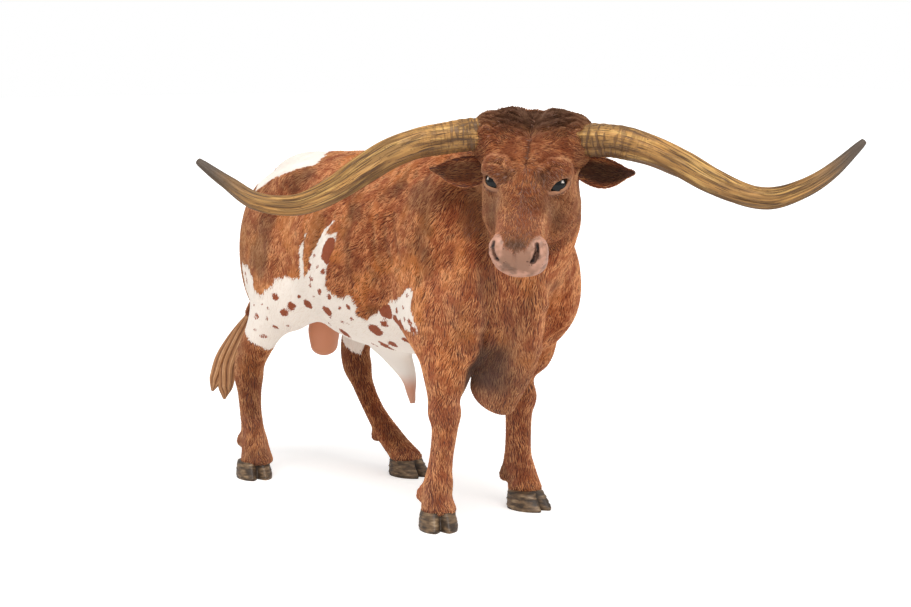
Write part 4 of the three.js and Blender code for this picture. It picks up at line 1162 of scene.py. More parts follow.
def coat_tree():
    """Strokes scattered over one region of a skin, laid along its 'lie' and bent to its surface."""
    n, given, result = new_group("Carved Coat", "GeometryNodeTree", COAT_INPUTS, [("Coat", "Geometry")])

    def field(name, kind="FLOAT"):
        return n.get("GeometryNodeInputNamedAttribute", {"Name": name}, data_type=kind)

    def random(low, high, step):
        inputs = {"Min": low, "Max": high, "Seed": n.plus(given["Seed"], float(step))}
        return n.get("FunctionNodeRandomValue", inputs, data_type="FLOAT")

    def store(geometry, name, value, kind="FLOAT"):
        inputs = {"Geometry": geometry, "Name": name, "Value": value}
        return n.get("GeometryNodeStoreNamedAttribute", inputs, data_type=kind, domain="POINT")

    skin, up = given["Skin"], field("up", "FLOAT_VECTOR")
    here = {0: field("region", "INT"), 1: given["Region"]}
    scatter = {
        "Mesh": skin,
        "Selection": n.get("FunctionNodeCompare", here, data_type="INT", operation="EQUAL"),
        "Distance Min": given["Spacing"],
        "Density Max": DENSEST,
        "Seed": given["Seed"],
    }
    points = n.get("GeometryNodeDistributePointsOnFaces", scatter, "Points", distribute_method="POISSON")
    points = store(points, "root", n.get("GeometryNodeInputPosition"), "FLOAT_VECTOR")
    points = store(points, "tone", random(0.0, 1.0, 2))
    points = store(points, "girth", n.times(field("stroke"), random(0.75, 1.2, 1)))

    wayward = n.times(random(-1.0, 1.0, 3), given["Waywardness"])
    lie = {"Vector": field("lie", "FLOAT_VECTOR"), "Axis": up, "Angle": wayward}
    lie = n.get("ShaderNodeVectorRotate", lie, rotation_type="AXIS_ANGLE")
    turn = n.get("FunctionNodeAxesToRotation", {0: up, 1: lie}, primary_axis="Z", secondary_axis="X")
    long = n.times(field("girth"), given["Length"])
    wide = n.times(n.math("POWER", field("girth"), 0.35), given["Width"])
    not_bare = {0: field("girth"), 1: LEAST_STROKE}
    laid = {
        "Points": points,
        "Selection": n.get("FunctionNodeCompare", not_bare, data_type="FLOAT", operation="GREATER_THAN"),
        "Instance": n.get("GeometryNodeObjectInfo", {"Object": given["Stroke"]}, "Geometry"),
        "Rotation": turn,
        "Scale": n.get("ShaderNodeCombineXYZ", {0: long, 1: wide, 2: 1.0}),
    }
    laid = n.get("GeometryNodeInstanceOnPoints", laid)
    strokes = n.get("GeometryNodeRealizeInstances", {"Geometry": laid})

    foot = n.get("GeometryNodeProximity", {0: skin}, "Position", target_element="FACES")
    normal = {"Mesh": skin, "Value": up}
    normal = n.get("GeometryNodeSampleNearestSurface", normal, data_type="FLOAT_VECTOR")
    lift = n.times(n.times(field("ridge"), given["Height"]), field("lift"))
    raised = n.get("ShaderNodeVectorMath", {0: normal, "Scale": lift}, operation="SCALE")
    place = n.get("ShaderNodeVectorMath", {0: foot, 1: raised}, operation="ADD")
    bent = n.get("GeometryNodeSetPosition", {"Geometry": strokes, "Position": place})
    painted = n.get("GeometryNodeSetMaterial", {"Geometry": bent, "Material": given["Material"]})
    n.join(result, {"Coat": painted})
    return n.tree


def grown(skin, tree, name, values):
    """The plain mesh that a node tree makes of a skin, as a new piece."""
    source = skin.copy()
    bpy.context.scene.collection.objects.link(source)
    modifier = source.modifiers.new("coat", "NODES")
    modifier.node_group = tree
    sockets = {s.name: s.identifier for s in tree.interface.items_tree if s.in_out == "INPUT"}
    for key, value in values.items():
        modifier[sockets[key]] = value
    depsgraph = bpy.context.evaluated_depsgraph_get()
    mesh = bpy.data.meshes.new_from_object(source.evaluated_get(depsgraph))
    mesh.name = name
    source.modifiers.remove(modifier)
    bpy.data.objects.remove(source)
    return new_object(name, mesh)


def around(along, a, b):
    """A place on an unrolled tube: how far along it, and the angle round it."""
    return np.stack([along, np.arctan2(a, b) / (2 * math.pi) + 0.5], 1)


def on_two_halves(place, x):
    """Moves the left side's places to the upper half of the map, and the right's to the lower."""
    place[:, 1] = place[:, 1] * 0.48 + np.where(x > 0, 0.5, 0)
    return place


def unrolled(p, region):
    """Where a point of the skin lies on its region's own unrolled surface, from 0 to 1."""
    x, y, z = p.T
    if region == "head":
        hx, hy, hz = head_place(p).T
        return around((hy + HEAD_LONG) / 40, hx, hz + 6)
    if region == "ears":
        ex, ey, ez = in_frame(p, np.linalg.inv(LEVEL_FRAME)).T
        return on_two_halves(around((np.abs(ex) - 7) / 16, ey - 1, ez + 9), ex)
    if region in ("forelegs", "hind_legs"):
        left = HOOVES["hind_left"]
        fore = np.where(x > 0, -24, -29)
        hind = 39 + np.where(x > 0, left["step"] * swing(left, z), 0)
        middle = fore if region == "forelegs" else hind
        return on_two_halves(around((z - 2) / 40, np.abs(x) - 13.5, y - middle), x)
    if region == "tail":
        return around((z - 30) / 40, x + 2, y - 49)
    return around((y + 62) / 116, x, z - 52)


# The size of a stroke's patch on the map
PATCH = 0.003


def bake_map(mesh, region):
    """The map 'OFBake': each stroke is a small patch at its root's place on the unrolled skin."""
    root = from_metres(read(mesh.attributes["root"].data, "vector"))
    place = np.clip(unrolled(root, region), 0, 1) * 0.99 + PATCH
    patch = [read(mesh.attributes[name].data, "value", 1) for name in ("length", "breadth")]
    place += np.hstack(patch) * PATCH
    corners = np.empty(len(mesh.loops), int)
    mesh.loops.foreach_get("vertex_index", corners)
    layer = mesh.uv_layers.new(name="OFBake")
    layer.uv.foreach_set("vector", place[corners].ravel())


def paint_strokes(mesh, region):
    """The masks of a coat. The edge of the white follows whole strokes, as a dragged brush does."""
    if region != "ears":
        p = from_metres(read(mesh.vertices, "co"))
        root = from_metres(read(mesh.attributes["root"].data, "vector"))
        paint_masks(mesh, p)
        keep(mesh, "white", MASKS["white"](root * 0.65 + p * 0.35))
    ridge = read(mesh.attributes["ridge"].data, "value", 1)
    keep(mesh, "rise", np.clip((ridge + 0.5) / 1.5, 0, 1))


def forget(mesh):
    """Drops what only the growing needed."""
    for name in ("up", "lie", "stroke", "lift", "region", "root", "girth", "ridge", "length", "breadth"):
        spent = mesh.attributes.get(name)
        if spent:
            mesh.attributes.remove(spent)


# Materials


# What the painter goes by: the masks, and how high and how pale each place is
PAINTED_BY = (*MASKS, "rise", "tone")
PAINT_GIVES = [("Color", "Color"), ("Roughness", "Float"), ("Grain", "Float")]


def coat_group(colours):
    """The painter's way with the coat: base colours by place, a dark wash below, dry brush on top."""
    masks = [(name, "Float", 0.0) for name in PAINTED_BY]
    n, mask, result = new_group("Painted Coat", "ShaderNodeTree", masks, PAINT_GIVES)
    place = n.place()
    wide = n.noise(place, 45.0, 1.0)
    smoke = n.noise(place, 85.0, 4.0)
    patches = n.noise(place, 110.0, 2.0)
    grime = n.noise(place, 420.0, 3.0)
    fleck = n.noise(place, 900.0, 2.0)
    dots = n.noise(place, 1700.0, 1.0)

    # Base colours
    red = n.times(mask["red"], n.ramp(patches, 0.6, 0.5, 0.35, 1.0))
    base = n.mix(n.ramp(wide, 0.45, 0.7, 0.0, 0.5), colours.coat, colours.red_coat)
    base = n.mix(red, base, colours.red_coat)
    bright = n.minus(1.0, n.times(mask["red"], 0.8))
    base = n.mix(n.times(bright, n.ramp(patches, 0.48, 0.64)), base, colours.golden)
    # Dry brush on the raised hair, painted shade in smoky patches with grime, and the wash between the
    # hairs
    single = n.ramp(mask["tone"], 0.0, 1.0, -0.18, 0.2)
    caught = n.ramp(n.plus(single, mask["rise"]), 0.47, 1.04)
    caught = n.times(caught, n.ramp(grime, 0.36, 0.6, 0.25, 1.0))
    base = n.mix(caught, base, colours.highlight)
    # Painted shade: dark smoky patches over the coat, with grime mixed in
    painted_shade_and_grime = n.larger(n.ramp(smoke, 0.52, 0.7, 0.0, 0.6), n.ramp(grime, 0.55, 0.75, 0.0, 0.4))
    darkened = n.times(mask["dark"], n.ramp(mask["rise"], 0.3, 1.0, 1.0, 0.86))
    shade = n.mix(n.ramp(mask["dark"], 0.55, 0.95), colours.smoky_coat, colours.dark_coat)
    base = n.mix(n.larger(darkened, painted_shade_and_grime), base, shade)
    low = n.ramp(n.plus(mask["rise"], n.times(single, 0.6)), 0.68, 0.22)
    base = n.mix(n.times(low, 0.94), base, colours.wash)
    # The white and its spots, with ragged edges
    white = n.mix(n.times(low, 0.35), colours.white, colours.white_wash)
    spot = n.mix(n.ramp(fleck, 0.3, 0.7), colours.spot, colours.red_coat)
    ragged = n.times(n.minus(fleck, 0.5), 0.5)
    spotted = n.ramp(n.plus(mask["spot"], ragged), -0.05, 0.05)
    whitened = n.ramp(n.plus(mask["white"], ragged), -0.05, 0.05)
    base = n.mix(whitened, base, n.mix(spotted, white, spot))
    base = n.mix(n.times(mask["tan"], 0.75), base, colours.eye_rim)
    # Bare skin: orange on the scrotum, specked and mottled on the muzzle
    on_muzzle = n.ramp(mask["red"], 0.9, 0.3)
    fair = n.plus(mask["tone"], n.times(patches, 0.5))
    pink = n.mix(n.ramp(fair, 0.5, 1.15), colours.pink, colours.pale_pink)
    pink = n.mix(n.times(mask["red"], 0.85), pink, colours.flesh)
    pink = n.mix(n.times(n.ramp(grime, 0.5, 0.64, 0.0, 0.55), on_muzzle), pink, colours.smoky_coat)
    pink = n.mix(n.times(n.ramp(dots, 0.68, 0.72, 0.0, 0.7), on_muzzle), pink, colours.wash)
    base = n.mix(mask["pink"], base, pink)
    base = n.mix(mask["hollow"], base, colours.hollow)
    roughness = n.ramp(mask["pink"], 0.0, 1.0, 0.62, 0.5)
    n.join(result, {"Color": base, "Roughness": roughness, "Grain": fleck})
    return n.tree


def coat_material(name, group, bump):
    material, n, shader = new_material(name)
    paint = n.tree.nodes.new("ShaderNodeGroup")
    paint.node_tree = group
    n.join(paint, {mask: n.attribute(mask) for mask in PAINTED_BY})
    made = paint.outputs
    normal = n.bump(made["Grain"], bump, 0.0001)
    n.join(shader, {"Base Color": made["Color"], "Roughness": made["Roughness"], "Normal": normal})
    return material


def horn_material(colours):
    """Golden horn with broken dark cracks, rings near the base and a smooth grey-brown point, with
    painted shade on its underside and at its root.
    """
    material, n, shader = new_material("Painted Horn")
    grain = n.attribute("grain", "Vector")
    along = n.attribute("along")

    def grain_noise(scale, detail):
        return n.noise(n.stretched(grain, scale), 1.0, detail)

    def thin(value, width):
        """1 along the lines where a noise passes its middle."""
        away = n.minus(value, 0.5)
        return n.ramp(n.larger(away, n.times(away, -1.0)), width, width * 0.3)

    streak = grain_noise((8.0, 4.0, 4.0), 5.0)
    tint = grain_noise((5.0, 1.0, 1.0), 2.0)
    broken = n.ramp(grain_noise((20.0, 6.0, 6.0), 3.0), 0.4, 0.52)
    crack = n.times(thin(grain_noise((4.0, 8.0, 8.0), 2.0), 0.05), broken)
    ring = n.ramp(grain_noise((92.0, 0.9, 0.9), 1.0), 0.5, 0.6)
    ring = n.times(ring, n.ramp(along, 0.36, 0.1, 0.0, 0.85))
    pit = n.ramp(grain_noise((110.0, 16.0, 16.0), 1.0), 0.7, 0.74)
    pit = n.times(pit, n.ramp(along, 0.85, 0.6))
    marks = n.times(n.larger(n.larger(crack, ring), pit), n.ramp(along, 0.92, 0.7))

    base = n.mix(n.ramp(tint, 0.38, 0.62), colours.horn, colours.olive_horn)
    base = n.mix(n.ramp(streak, 0.5, 0.72), base, colours.pale_horn)
    base = n.mix(n.ramp(streak, 0.47, 0.3, 0.0, 0.75), base, colours.streak)
    base = n.mix(n.times(marks, 0.9), base, colours.streak)
    # Painted shade: darker where the horn faces down, and at its root
    up = n.get("ShaderNodeSeparateXYZ", {0: n.place("Normal")}, "Z")
    painted_shade_below = n.larger(n.ramp(up, 0.35, -0.75, 0.0, 0.5), n.ramp(along, 0.05, 0.015, 0.0, 0.7))
    base = n.mix(painted_shade_below, base, colours.streak)
    tip = n.plus(along, n.times(streak, 0.16))
    base = n.mix(n.ramp(tip, 0.76, 0.98), base, colours.horn_tip)
    normal = n.bump(n.minus(streak, marks), 0.6, 0.0003)
    n.join(shader, {"Base Color": base, "Normal": normal, "Roughness": 0.5})
    return material


def eye_material(colours):
    """Gloss black with a painted glint."""
    material, n, shader = new_material("Glossy Eye")
    painted = n.mix(n.attribute("glint"), colours.eye, colours.white)
    n.join(shader, {"Base Color": painted, "Roughness": 0.12, "Specular IOR Level": 0.35})
    return material


def hoof_material(colours):
    """Ribs across the hoof, pale on top, and a dark cleft."""
    material, n, shader = new_material("Painted Hoof")
    ribs = n.noise(n.stretched(n.place(), (1.0, 1.0, 3.5)), 420.0, 4.0)
    base = n.mix(n.ramp(ribs, 0.35, 0.65), colours.hoof_wash, colours.hoof)
    base = n.mix(n.ramp(ribs, 0.58, 0.7, 0.0, 0.6), base, colours.hoof_edge)
    base = n.mix(n.ramp(n.attribute("cleft"), 0.3, 1.0), base, colours.hoof_wash)
    n.join(shader, {"Base Color": base, "Normal": n.bump(ribs, 0.5, 0.0003), "Roughness": 0.5})
    return material


def switch_material(colours):
    """Dark grooves, tan hair and paler crests."""
    material, n, shader = new_material("Painted Switch")
    rise = n.plus(n.attribute("rise"), n.times(n.noise(n.place(), 500.0, 2.0), 0.3))
    base = n.mix(n.ramp(rise, 0.3, 0.85), colours.wash, colours.switch)
    base = n.mix(n.ramp(rise, 0.95, 1.2), base, colours.pale_switch)
    n.join(shader, {"Base Color": base, "Roughness": 0.6})
    return material


# Horns, ears, eyes, hooves and the tail's switch

# Stations from the poll, in mm: out to the side, forward, up and radius
HORN = {
    LEFT: [
        (8.6, -0.4, -3.4, 3.4), (11.2, 0, -3.4, 3.45), (17.1, 1.1, -3.6, 3.38), (23.1, 3, -5, 3.08),
        (29, 5.2, -7.4, 2.99), (34.9, 7.4, -10.4, 2.71), (40.6, 9.2, -12.7, 2.41),
        (46.3, 10.4, -13.4, 2.2), (51.8, 11, -11.5, 1.84), (57.3, 10.1, -7.9, 1.5),
        (61.6, 9.2, -3.8, 0.9), (62.7, 9, -2.6, 0.55),
    ],
    RIGHT: [
        (8.6, -0.4, -2.6, 3.3), (11.2, 0, -2.6, 3.3), (15.9, 1.1, -3, 3.28), (21.4, 3, -3.9, 3.17),
        (26.9, 5.2, -6, 3.07), (32, 7.2, -9.3, 2.92), (37.6, 9.2, -13.1, 2.68),
        (44.4, 10.4, -15.7, 2.29), (51.8, 11, -15, 1.95), (57.6, 10.1, -11.9, 1.6),
        (63, 9.2, -8.3, 0.95), (64.1, 9, -7.5, 0.6),
    ],
}
# How far a horn's root reaches into the head, and its girth there as a share
HORN_ROOT = dict(reach=1.3, girth=0.72)


def lofted(rings):
    """Points and faces of rings joined one to the next, with a flat cap at each end."""
    count, around_ring = len(rings), len(rings[0])
    points = [p for ring in rings for p in ring]
    faces = []
    for i in range(count - 1):
        for j in range(around_ring):
            k = (j + 1) % around_ring
            a, b = i * around_ring, (i + 1) * around_ring
            faces.append((a + j, a + k, b + k, b + j))
    faces.append(tuple(reversed(range(around_ring))))
    faces.append(tuple((count - 1) * around_ring + j for j in range(around_ring)))
    return points, faces


def closed_piece(name, points, faces):
    """A smooth closed piece from points in the bull's frame, with every face turned outwards."""
    piece = mesh_object(name, to_metres(points), faces)
    bm = bmesh.new()
    bm.from_mesh(piece.data)
    bmesh.ops.recalc_face_normals(bm, faces=bm.faces[:])
    if bm.calc_volume(signed=True) < 0:
        bmesh.ops.reverse_faces(bm, faces=bm.faces[:])
    bm.to_mesh(piece.data)
    bm.free()
    piece.data.shade_smooth()
    return piece


def angles(count):
    return np.arange(count) / count * 2 * math.pi


def tube_rings(stations, sides, count, girth_at, place):
    """Rings round a curve. girth_at(t, angle, radius) gives each point's distance from it."""
    stations = np.array(stations, float)
    angle = angles(sides)
    rings, grain = [], []
    for i in range(count + 1):
        t = i / count
        tangent = spline_direction(stations[:, :3], t)
        s = unit(np.array([0, 0, 1.0]) - tangent * tangent[2])
        u = np.cross(tangent, s)
        radius = spline(stations[:, 3:], t)[0]
        girth = girth_at(t, angle, radius)[:, None]
        middle = spline(stations[:, :3], t)
        ring = middle + girth * (np.cos(angle)[:, None] * s + np.sin(angle)[:, None] * u)
        rings.append(in_frame(ring, place))
        grain.append(np.stack([np.full(sides, t), np.cos(angle), np.sin(angle)], 1))
    return rings, np.concatenate(grain)


def horn_relief(side):
    def girth_at(t, angle, radius):
        """Worn rings at the base, then long shallow grooves that fade towards a rounded point."""
        where = np.stack([np.full(len(angle), t * 9), np.cos(angle) * 2.2, np.sin(angle) * 2.2], 1)
        fibre = noise(where * np.array([0.5, 2.6, 2.6]), 1.0, 11 + side)
        lumps = noise(where, 1.0, 23 + side)
        wave = noise(where * np.array([3.0, 0.5, 0.5]), 1.0, 31 + side)
        bands = np.sin(t * 210 + wave * 3.5) * 0.09 * smooth_step(0.3, 0.02, t)
        worn = smooth_step(0.98, 0.75, t)
        rounded = math.sqrt(max(0.02, 1 - (max(0, t - 0.985) / 0.0151) ** 2))
        return (radius + bands + ((fibre - 0.5) * 0.34 + (lumps - 0.5) * 0.3) * worn) * rounded

    return girth_at


def horn_piece(side, name):
    stations = [(side * o, -forward, up, radius) for o, forward, up, radius in HORN[side]]
    o, y, z, radius = stations[0]
    stations[0] = (o - side * HORN_ROOT["reach"], y, z, radius * HORN_ROOT["girth"])
    rings, grain = tube_rings(stations, 56, 190, horn_relief(side), LEVEL_FRAME)
    piece = closed_piece(name, *lofted(rings))
    keep(piece.data, "grain", grain, "FLOAT_VECTOR")
    keep(piece.data, "along", grain[:, 0])
    return piece


# How the ears hang: where the root is, and how much the tip drops, in the poll's level frame
EAR = {LEFT: dict(level=-8.7, drop=0.8), RIGHT: dict(level=-9.2, drop=-0.1)}
EAR_RINGS = 44


def ear_rings(side, angle):
    length, level, drop = 11.4, EAR[side]["level"], EAR[side]["drop"]
    rings = []
    for i in range(EAR_RINGS + 1):
        t = 1 - (1 - i / EAR_RINGS) ** 1.6
        swelling = 1.9 + 1.5 * math.sin(math.pi * min(1, t * 1.15)) - 1.1 * t
        tall = swelling * math.sqrt(max(0.01, 1 - (max(0, t - 0.7) / 0.305) ** 2))
        cup = 1.7 * math.sin(math.pi * min(1, t + 0.12))
        thick = 0.55 + 0.5 * (1 - t)
        x = np.full(len(angle), side * (8.4 + length * t))
        y = 1.2 - 2.2 * t + cup * (1 - np.cos(angle) ** 2) + thick * np.sin(angle)
        z = level - drop * t - 0.6 * math.sin(math.pi * t) + np.cos(angle) * tall
        rings.append(in_frame(np.stack([x, y, z], 1), LEVEL_FRAME))
    return rings


def ear_piece(side, name):
    """A cupped leaf, dark inside, with what its coat needs."""
    angle = angles(56)
    rings = ear_rings(side, angle)
    piece = closed_piece(name, *lofted(rings))
    mesh = piece.data
    along = np.repeat(np.linspace(0, 1, len(rings)), len(angle))
    inner = np.tile(smooth_step(0.1, 0.9, -np.sin(angle)), len(rings))
    rim = smooth_step(0.6, 0.95, np.abs(np.tile(np.cos(angle), len(rings))))
    middle = smooth_step(0.0, 0.2, along) * smooth_step(0.9, 0.6, along)
    inside = 0.75 if side == LEFT else 0.45
    up = read(mesh.vertices, "normal")
    outward = LEVEL_FRAME[:3, :3] @ np.array([side, 0.1, -0.15])
    values = dict.fromkeys(MASKS, 0.0) | {
        "white": -2.0,
        "spot": -2.0,
        "dark": 0.12 + inside * (1 - 0.65 * rim) * inner,
        "red": 0.8,
        "hollow": 0.4 * inside * inner * (1 - rim) * middle,
        "rise": 0.2,
        "tone": 0.4,
        "stroke": 0.8 - 0.3 * along,
        "lift": 0.8,
    }
    for key, value in values.items():
        keep(mesh, key, np.broadcast_to(value, len(mesh.vertices)))
    keep(mesh, "up", up, "FLOAT_VECTOR")
    keep(mesh, "lie", unit(outward - up * (up @ outward)[:, None]), "FLOAT_VECTOR")
    keep(mesh, "region", np.zeros(len(mesh.polygons)), "INT", "FACE")
    return piece


def eye_piece(side, name):
    """A ball with a glint painted on it, up and towards the back corner."""
    bm = bmesh.new()
    bmesh.ops.create_uvsphere(bm, u_segments=48, v_segments=32, radius=EYE["radius"])
    mesh = bpy.data.meshes.new(name)
    bm.to_mesh(mesh)
    bm.free()
    ball = read(mesh.vertices, "co")
    gaze, corners, up = eye_axes(side)
    away = ball - EYE["radius"] * unit(gaze + 0.22 * corners + 0.12 * up)
    keep(mesh, "glint", smooth_step(0.3, 0.2, np.linalg.norm(away, axis=1)))
    place = in_frame(ball + eye_centre(side), HEAD_FRAME)
    mesh.vertices.foreach_set("co", to_metres(place).ravel())
    mesh.shade_smooth()
    return new_object(name, mesh)


# Height, half the width, half the length, depth of the cleft and how far back, up the hoof
HOOF_LEVELS = ((0, 3.8, 5.0, 0.5, 0), (0.5, 4.0, 5.2, 0.5, 0), (2.1, 3.85, 4.6, 0.42, 0.6),
               (CORONET, 3.5, 3.9, 0.2, 1.1))


def hoof_piece(name, hoof):
    """A cloven block, flat underneath, ribbed from side to side as it grew."""
    around_ring, count = 112, 26
    angle = angles(around_ring)
    levels = np.array(HOOF_LEVELS, float)
    place = np.array(Matrix.Translation((hoof["x"], hoof["y"], 0))) @ turned((0, 0, 1), hoof["yaw"])
    front = np.maximum(0, 1 - np.abs(angle - math.pi * 1.5) / 0.3)
    heel = np.maximum(0, 1 - np.abs(angle - math.pi * 0.5) / 0.3)
    rings = []
    for i in range(count + 1):
        z = CORONET * (i / count) ** 1.3
        wide, long, cleft, back = (np.interp(z, levels[:, 0], levels[:, k]) for k in (1, 2, 3, 4))
        where = np.stack([np.cos(angle) * 3, np.sin(angle) * 3, np.full(around_ring, z * 6)], 1)
        ribs = (noise(where, 2.0, 41) - 0.5) * 0.035 * float(smooth_step(0, 0.4, z))
        r = 1 - cleft * front - 0.25 * heel + ribs
        x = wide * r * np.sign(np.cos(angle)) * np.abs(np.cos(angle)) ** 0.85
        ring = np.stack([x, long * r * np.sin(angle) + back, np.full(around_ring, z)], 1)
        rings.append(in_frame(ring, place))
    piece = closed_piece(name, *lofted(rings))
    keep(piece.data, "cleft", np.tile(front + heel, len(rings)))
    return piece


SWITCH_ROOT = np.array([-5.2, 51.4, 34.8])
SWITCH_LOCKS = (
    dict(to=(-13, 57.3, 16.8), bow=(-0.4, 1.8, 0), wide=1.9, hairs=7),
    dict(to=(-10.9, 55.5, 14.9), bow=(-1, 1.4, 0), wide=2.1, hairs=8),
    dict(to=(-8.6, 54.4, 19.5), bow=(-0.6, 1.1, 0), wide=1.8, hairs=7),
)


def switch_piece(name):
    """Three grooved locks that part towards their points, joined at the root."""
    points, faces, groove = [], [], []
    for turn, lock in enumerate(SWITCH_LOCKS):
        stations = []
        for t in (0, 0.3, 0.6, 0.85, 1):
            middle = SWITCH_ROOT + (np.array(lock["to"]) - SWITCH_ROOT) * t
            middle = middle + np.array(lock["bow"]) * math.sin(math.pi * t)
            wide = max(0.25, lock["wide"] * (0.65 + 0.55 * t) * (1 - t**7))
            stations.append((*middle, wide))

        def girth_at(t, angle, radius):
            """Hairs that twist a little round the lock and lie in deep grooves."""
            twist = angle + turn + 0.9 * t + 0.35 * math.sin(5 * t + turn)
            hair = np.abs(np.sin(twist * lock["hairs"] / 2)) ** 0.7
            fine = np.abs(np.sin(twist * lock["hairs"] * 1.5 + 2)) ** 0.8
            groove.append(0.7 * hair + 0.3 * fine)
            return radius * (0.8 + 0.26 * hair + 0.08 * fine)

        rings, _ = tube_rings(stations, 84, 60, girth_at, np.eye(4))
        start = len(points)
        more, sides = lofted(rings)
        points += list(more)
        faces += [tuple(i + start for i in face) for face in sides]
    piece = closed_piece(name, points, faces)
    keep(piece.data, "rise", np.concatenate(groove))
    return piece


# What a user of the add-on can change


def colour(name, description, *screen_values):
    """A colour property, given as screen values from 0 to 255, kept as the shaders need it."""
    c = np.array(screen_values) / 255
    c = np.where(c <= 0.04045, c / 12.92, ((c + 0.055) / 1.055) ** 2.4)
    return bpy.props.FloatVectorProperty(
        name=name, description=description, subtype="COLOR", size=3, min=0, max=1, default=tuple(c)
    )


def number(name, description, default, low=0.0, **more):
    return bpy.props.FloatProperty(
        name=name, description=description, default=default, min=low, **more
    )


def length(name, description, default, low, high):
    more = dict(max=high, subtype="DISTANCE", unit="LENGTH", precision=5)
    return number(name, description, default, low, **more)


class LonghornColours(bpy.types.PropertyGroup):
    coat: colour("Coat", "Red-brown of the flanks", 172, 90, 50)
    golden: colour("Golden coat", "The lighter patches of the coat", 204, 126, 62)
    red_coat: colour("Red coat", "The deeper red of neck and legs", 162, 82, 46)
    dark_coat: colour("Dark coat", "The poll, the dewlap and the ears", 56, 38, 30)
    # Also the colour of the painted shade: smoky patches, rump, lower body, sides of the head and carved
    # folds
    smoky_coat: colour("Smoky coat", "Stains, and the sides of the nose", 96, 68, 50)
    highlight: colour("Dry brush", "Pale paint caught by the raised hair", 246, 180, 122)
    wash: colour("Wash", "Dark paint left between the hairs", 76, 36, 20)
    # Also the painted highlight on the eyes
    white: colour("White", "White markings", 249, 240, 230)
    white_wash: colour("Shaded white", "Between the hairs of the white markings", 226, 202, 180)
    spot: colour("Spots", "Brown spots in the white", 156, 80, 44)
    pink: colour("Pink skin", "Bare skin of muzzle and scrotum", 158, 114, 90)
    flesh: colour("Flesh", "Orange pink of the scrotum", 218, 142, 104)
    pale_pink: colour("Pale skin", "Lighter places of the bare skin", 204, 152, 128)
    eye_rim: colour("Eye rims", "Painted round the eyes", 158, 112, 82)
    hollow: colour("Hollows", "Inside the nostrils and the ears", 44, 27, 22)
    horn: colour("Horn", "Golden brown of the horns", 200, 146, 78)
    pale_horn: colour("Pale horn", "Worn places of the horns", 226, 178, 102)
    olive_horn: colour("Olive horn", "Greener places of the horns", 156, 114, 58)
    # Also the colour of the painted shade under the horns and at their roots
    streak: colour("Streaks", "Dark cracks along the horns", 82, 54, 34)
    horn_tip: colour("Horn tips", "Grey-brown points", 92, 78, 66)
    eye: colour("Eyes", "Glossy black", 12, 14, 16)
    hoof: colour("Hooves", "Grey brown", 130, 104, 76)
    hoof_edge: colour("Hoof edges", "Pale paint on the ribs", 180, 156, 124)
    hoof_wash: colour("Hoof wash", "Dark paint in the cleft", 62, 48, 36)
    switch: colour("Switch", "Golden tan of the tail's end", 172, 119, 75)
    pale_switch: colour("Pale switch", "Raised hair of the tail's end", 222, 174, 128)


class LonghornCoat(bpy.types.PropertyGroup):
    skin_cell: length("Skin cell", "Spacing of the skin's points", 0.0008, 0.0004, 0.002)
    spacing: length("Spacing", "Least distance between two strokes", 0.00029, 0.0002, 0.002)
    stroke_length: length("Stroke length", "Longest stroke", 0.0027, 0.001, 0.006)
    stroke_width: length("Stroke width", "Widest stroke", 0.00047, 0.0002, 0.002)
    stroke_height: length("Stroke height", "How far a stroke stands proud", 0.00032, 0.0, 0.0008)
    waywardness: number(
        "Waywardness", "How far a stroke may turn from the lie of the coat", 0.24, max=1, subtype="ANGLE"
    )
    fineness: number(
        "Head strokes",
        "Spacing and width of the strokes on head and ears, as a share of the body's",
        0.72,
        0.3,
        max=2,
    )
    seed: bpy.props.IntProperty(name="Seed", description="Scatter of the strokes", default=7, min=0)


class LonghornStage(bpy.types.PropertyGroup):
    floor: colour("Floor", "The sheet under the figure", 250, 248, 246)
    key_power: number("Key light", "Strength of the soft light from above", 2.4)
    key_softness: number(
        "Softness", "How wide the key light is", math.radians(50), max=math.pi, subtype="ANGLE"
    )
    world: number("Surroundings", "Strength of the white surroundings as a light", 0.5)


def settings(context):
    return context.scene.longhorn_colours, context.scene.longhorn_coat, context.scene.longhorn_stage


def need(name):
    piece = bpy.data.objects.get(name)
    if piece is None:
        raise RuntimeError(f"The piece {name} has to be built first")
    return piece


SIDES = {"left": LEFT, "right": RIGHT}
SKIN_NODES = ("torso", "neck", "brisket", "head", "muzzle", "leg_front_right", "leg_front_left",
              "leg_hind_right", "leg_hind_left", "scrotum", "sheath", "tail")
# How high the bare skin between the strokes counts for the painter, and where no strokes grow
BARED, SMOOTH = 0.34, 0.75


class LONGHORN_OT_skin(bpy.types.Operator):
    """Moulds the body, head, legs and tail as one skin"""

    bl_idname = "longhorn.skin"
    bl_label = "Skin"

    def execute(self, context):
        colours, coat, _ = settings(context)
        piece = skin_mesh(coat.skin_cell / MM)
        p = prepare_for_coat(piece.data)
        paint_masks(piece.data, p)
        rise = np.where(stroke_size(p) > LEAST_STROKE, BARED + 0.12 * noise(p, 0.5, 71), SMOOTH)
        keep(piece.data, "rise", rise)
        keep(piece.data, "tone", skin_tone(p))
        group = bpy.data.node_groups.get("Painted Coat") or coat_group(colours)
        finish_piece(piece, coat_material("Painted Skin", group, 0.25), "coat", *SKIN_NODES)
        return {"FINISHED"}


class LONGHORN_OT_ears(bpy.types.Operator):
    """Shapes the two ears"""

    bl_idname = "longhorn.ears"
    bl_label = "Ears"

    def execute(self, context):
        for name, side in SIDES.items():
            piece = ear_piece(side, f"ear_{name}_leaf")
            finish_piece(piece, need("skin").data.materials[0], "coat", f"ear_{name}")
        return {"FINISHED"}


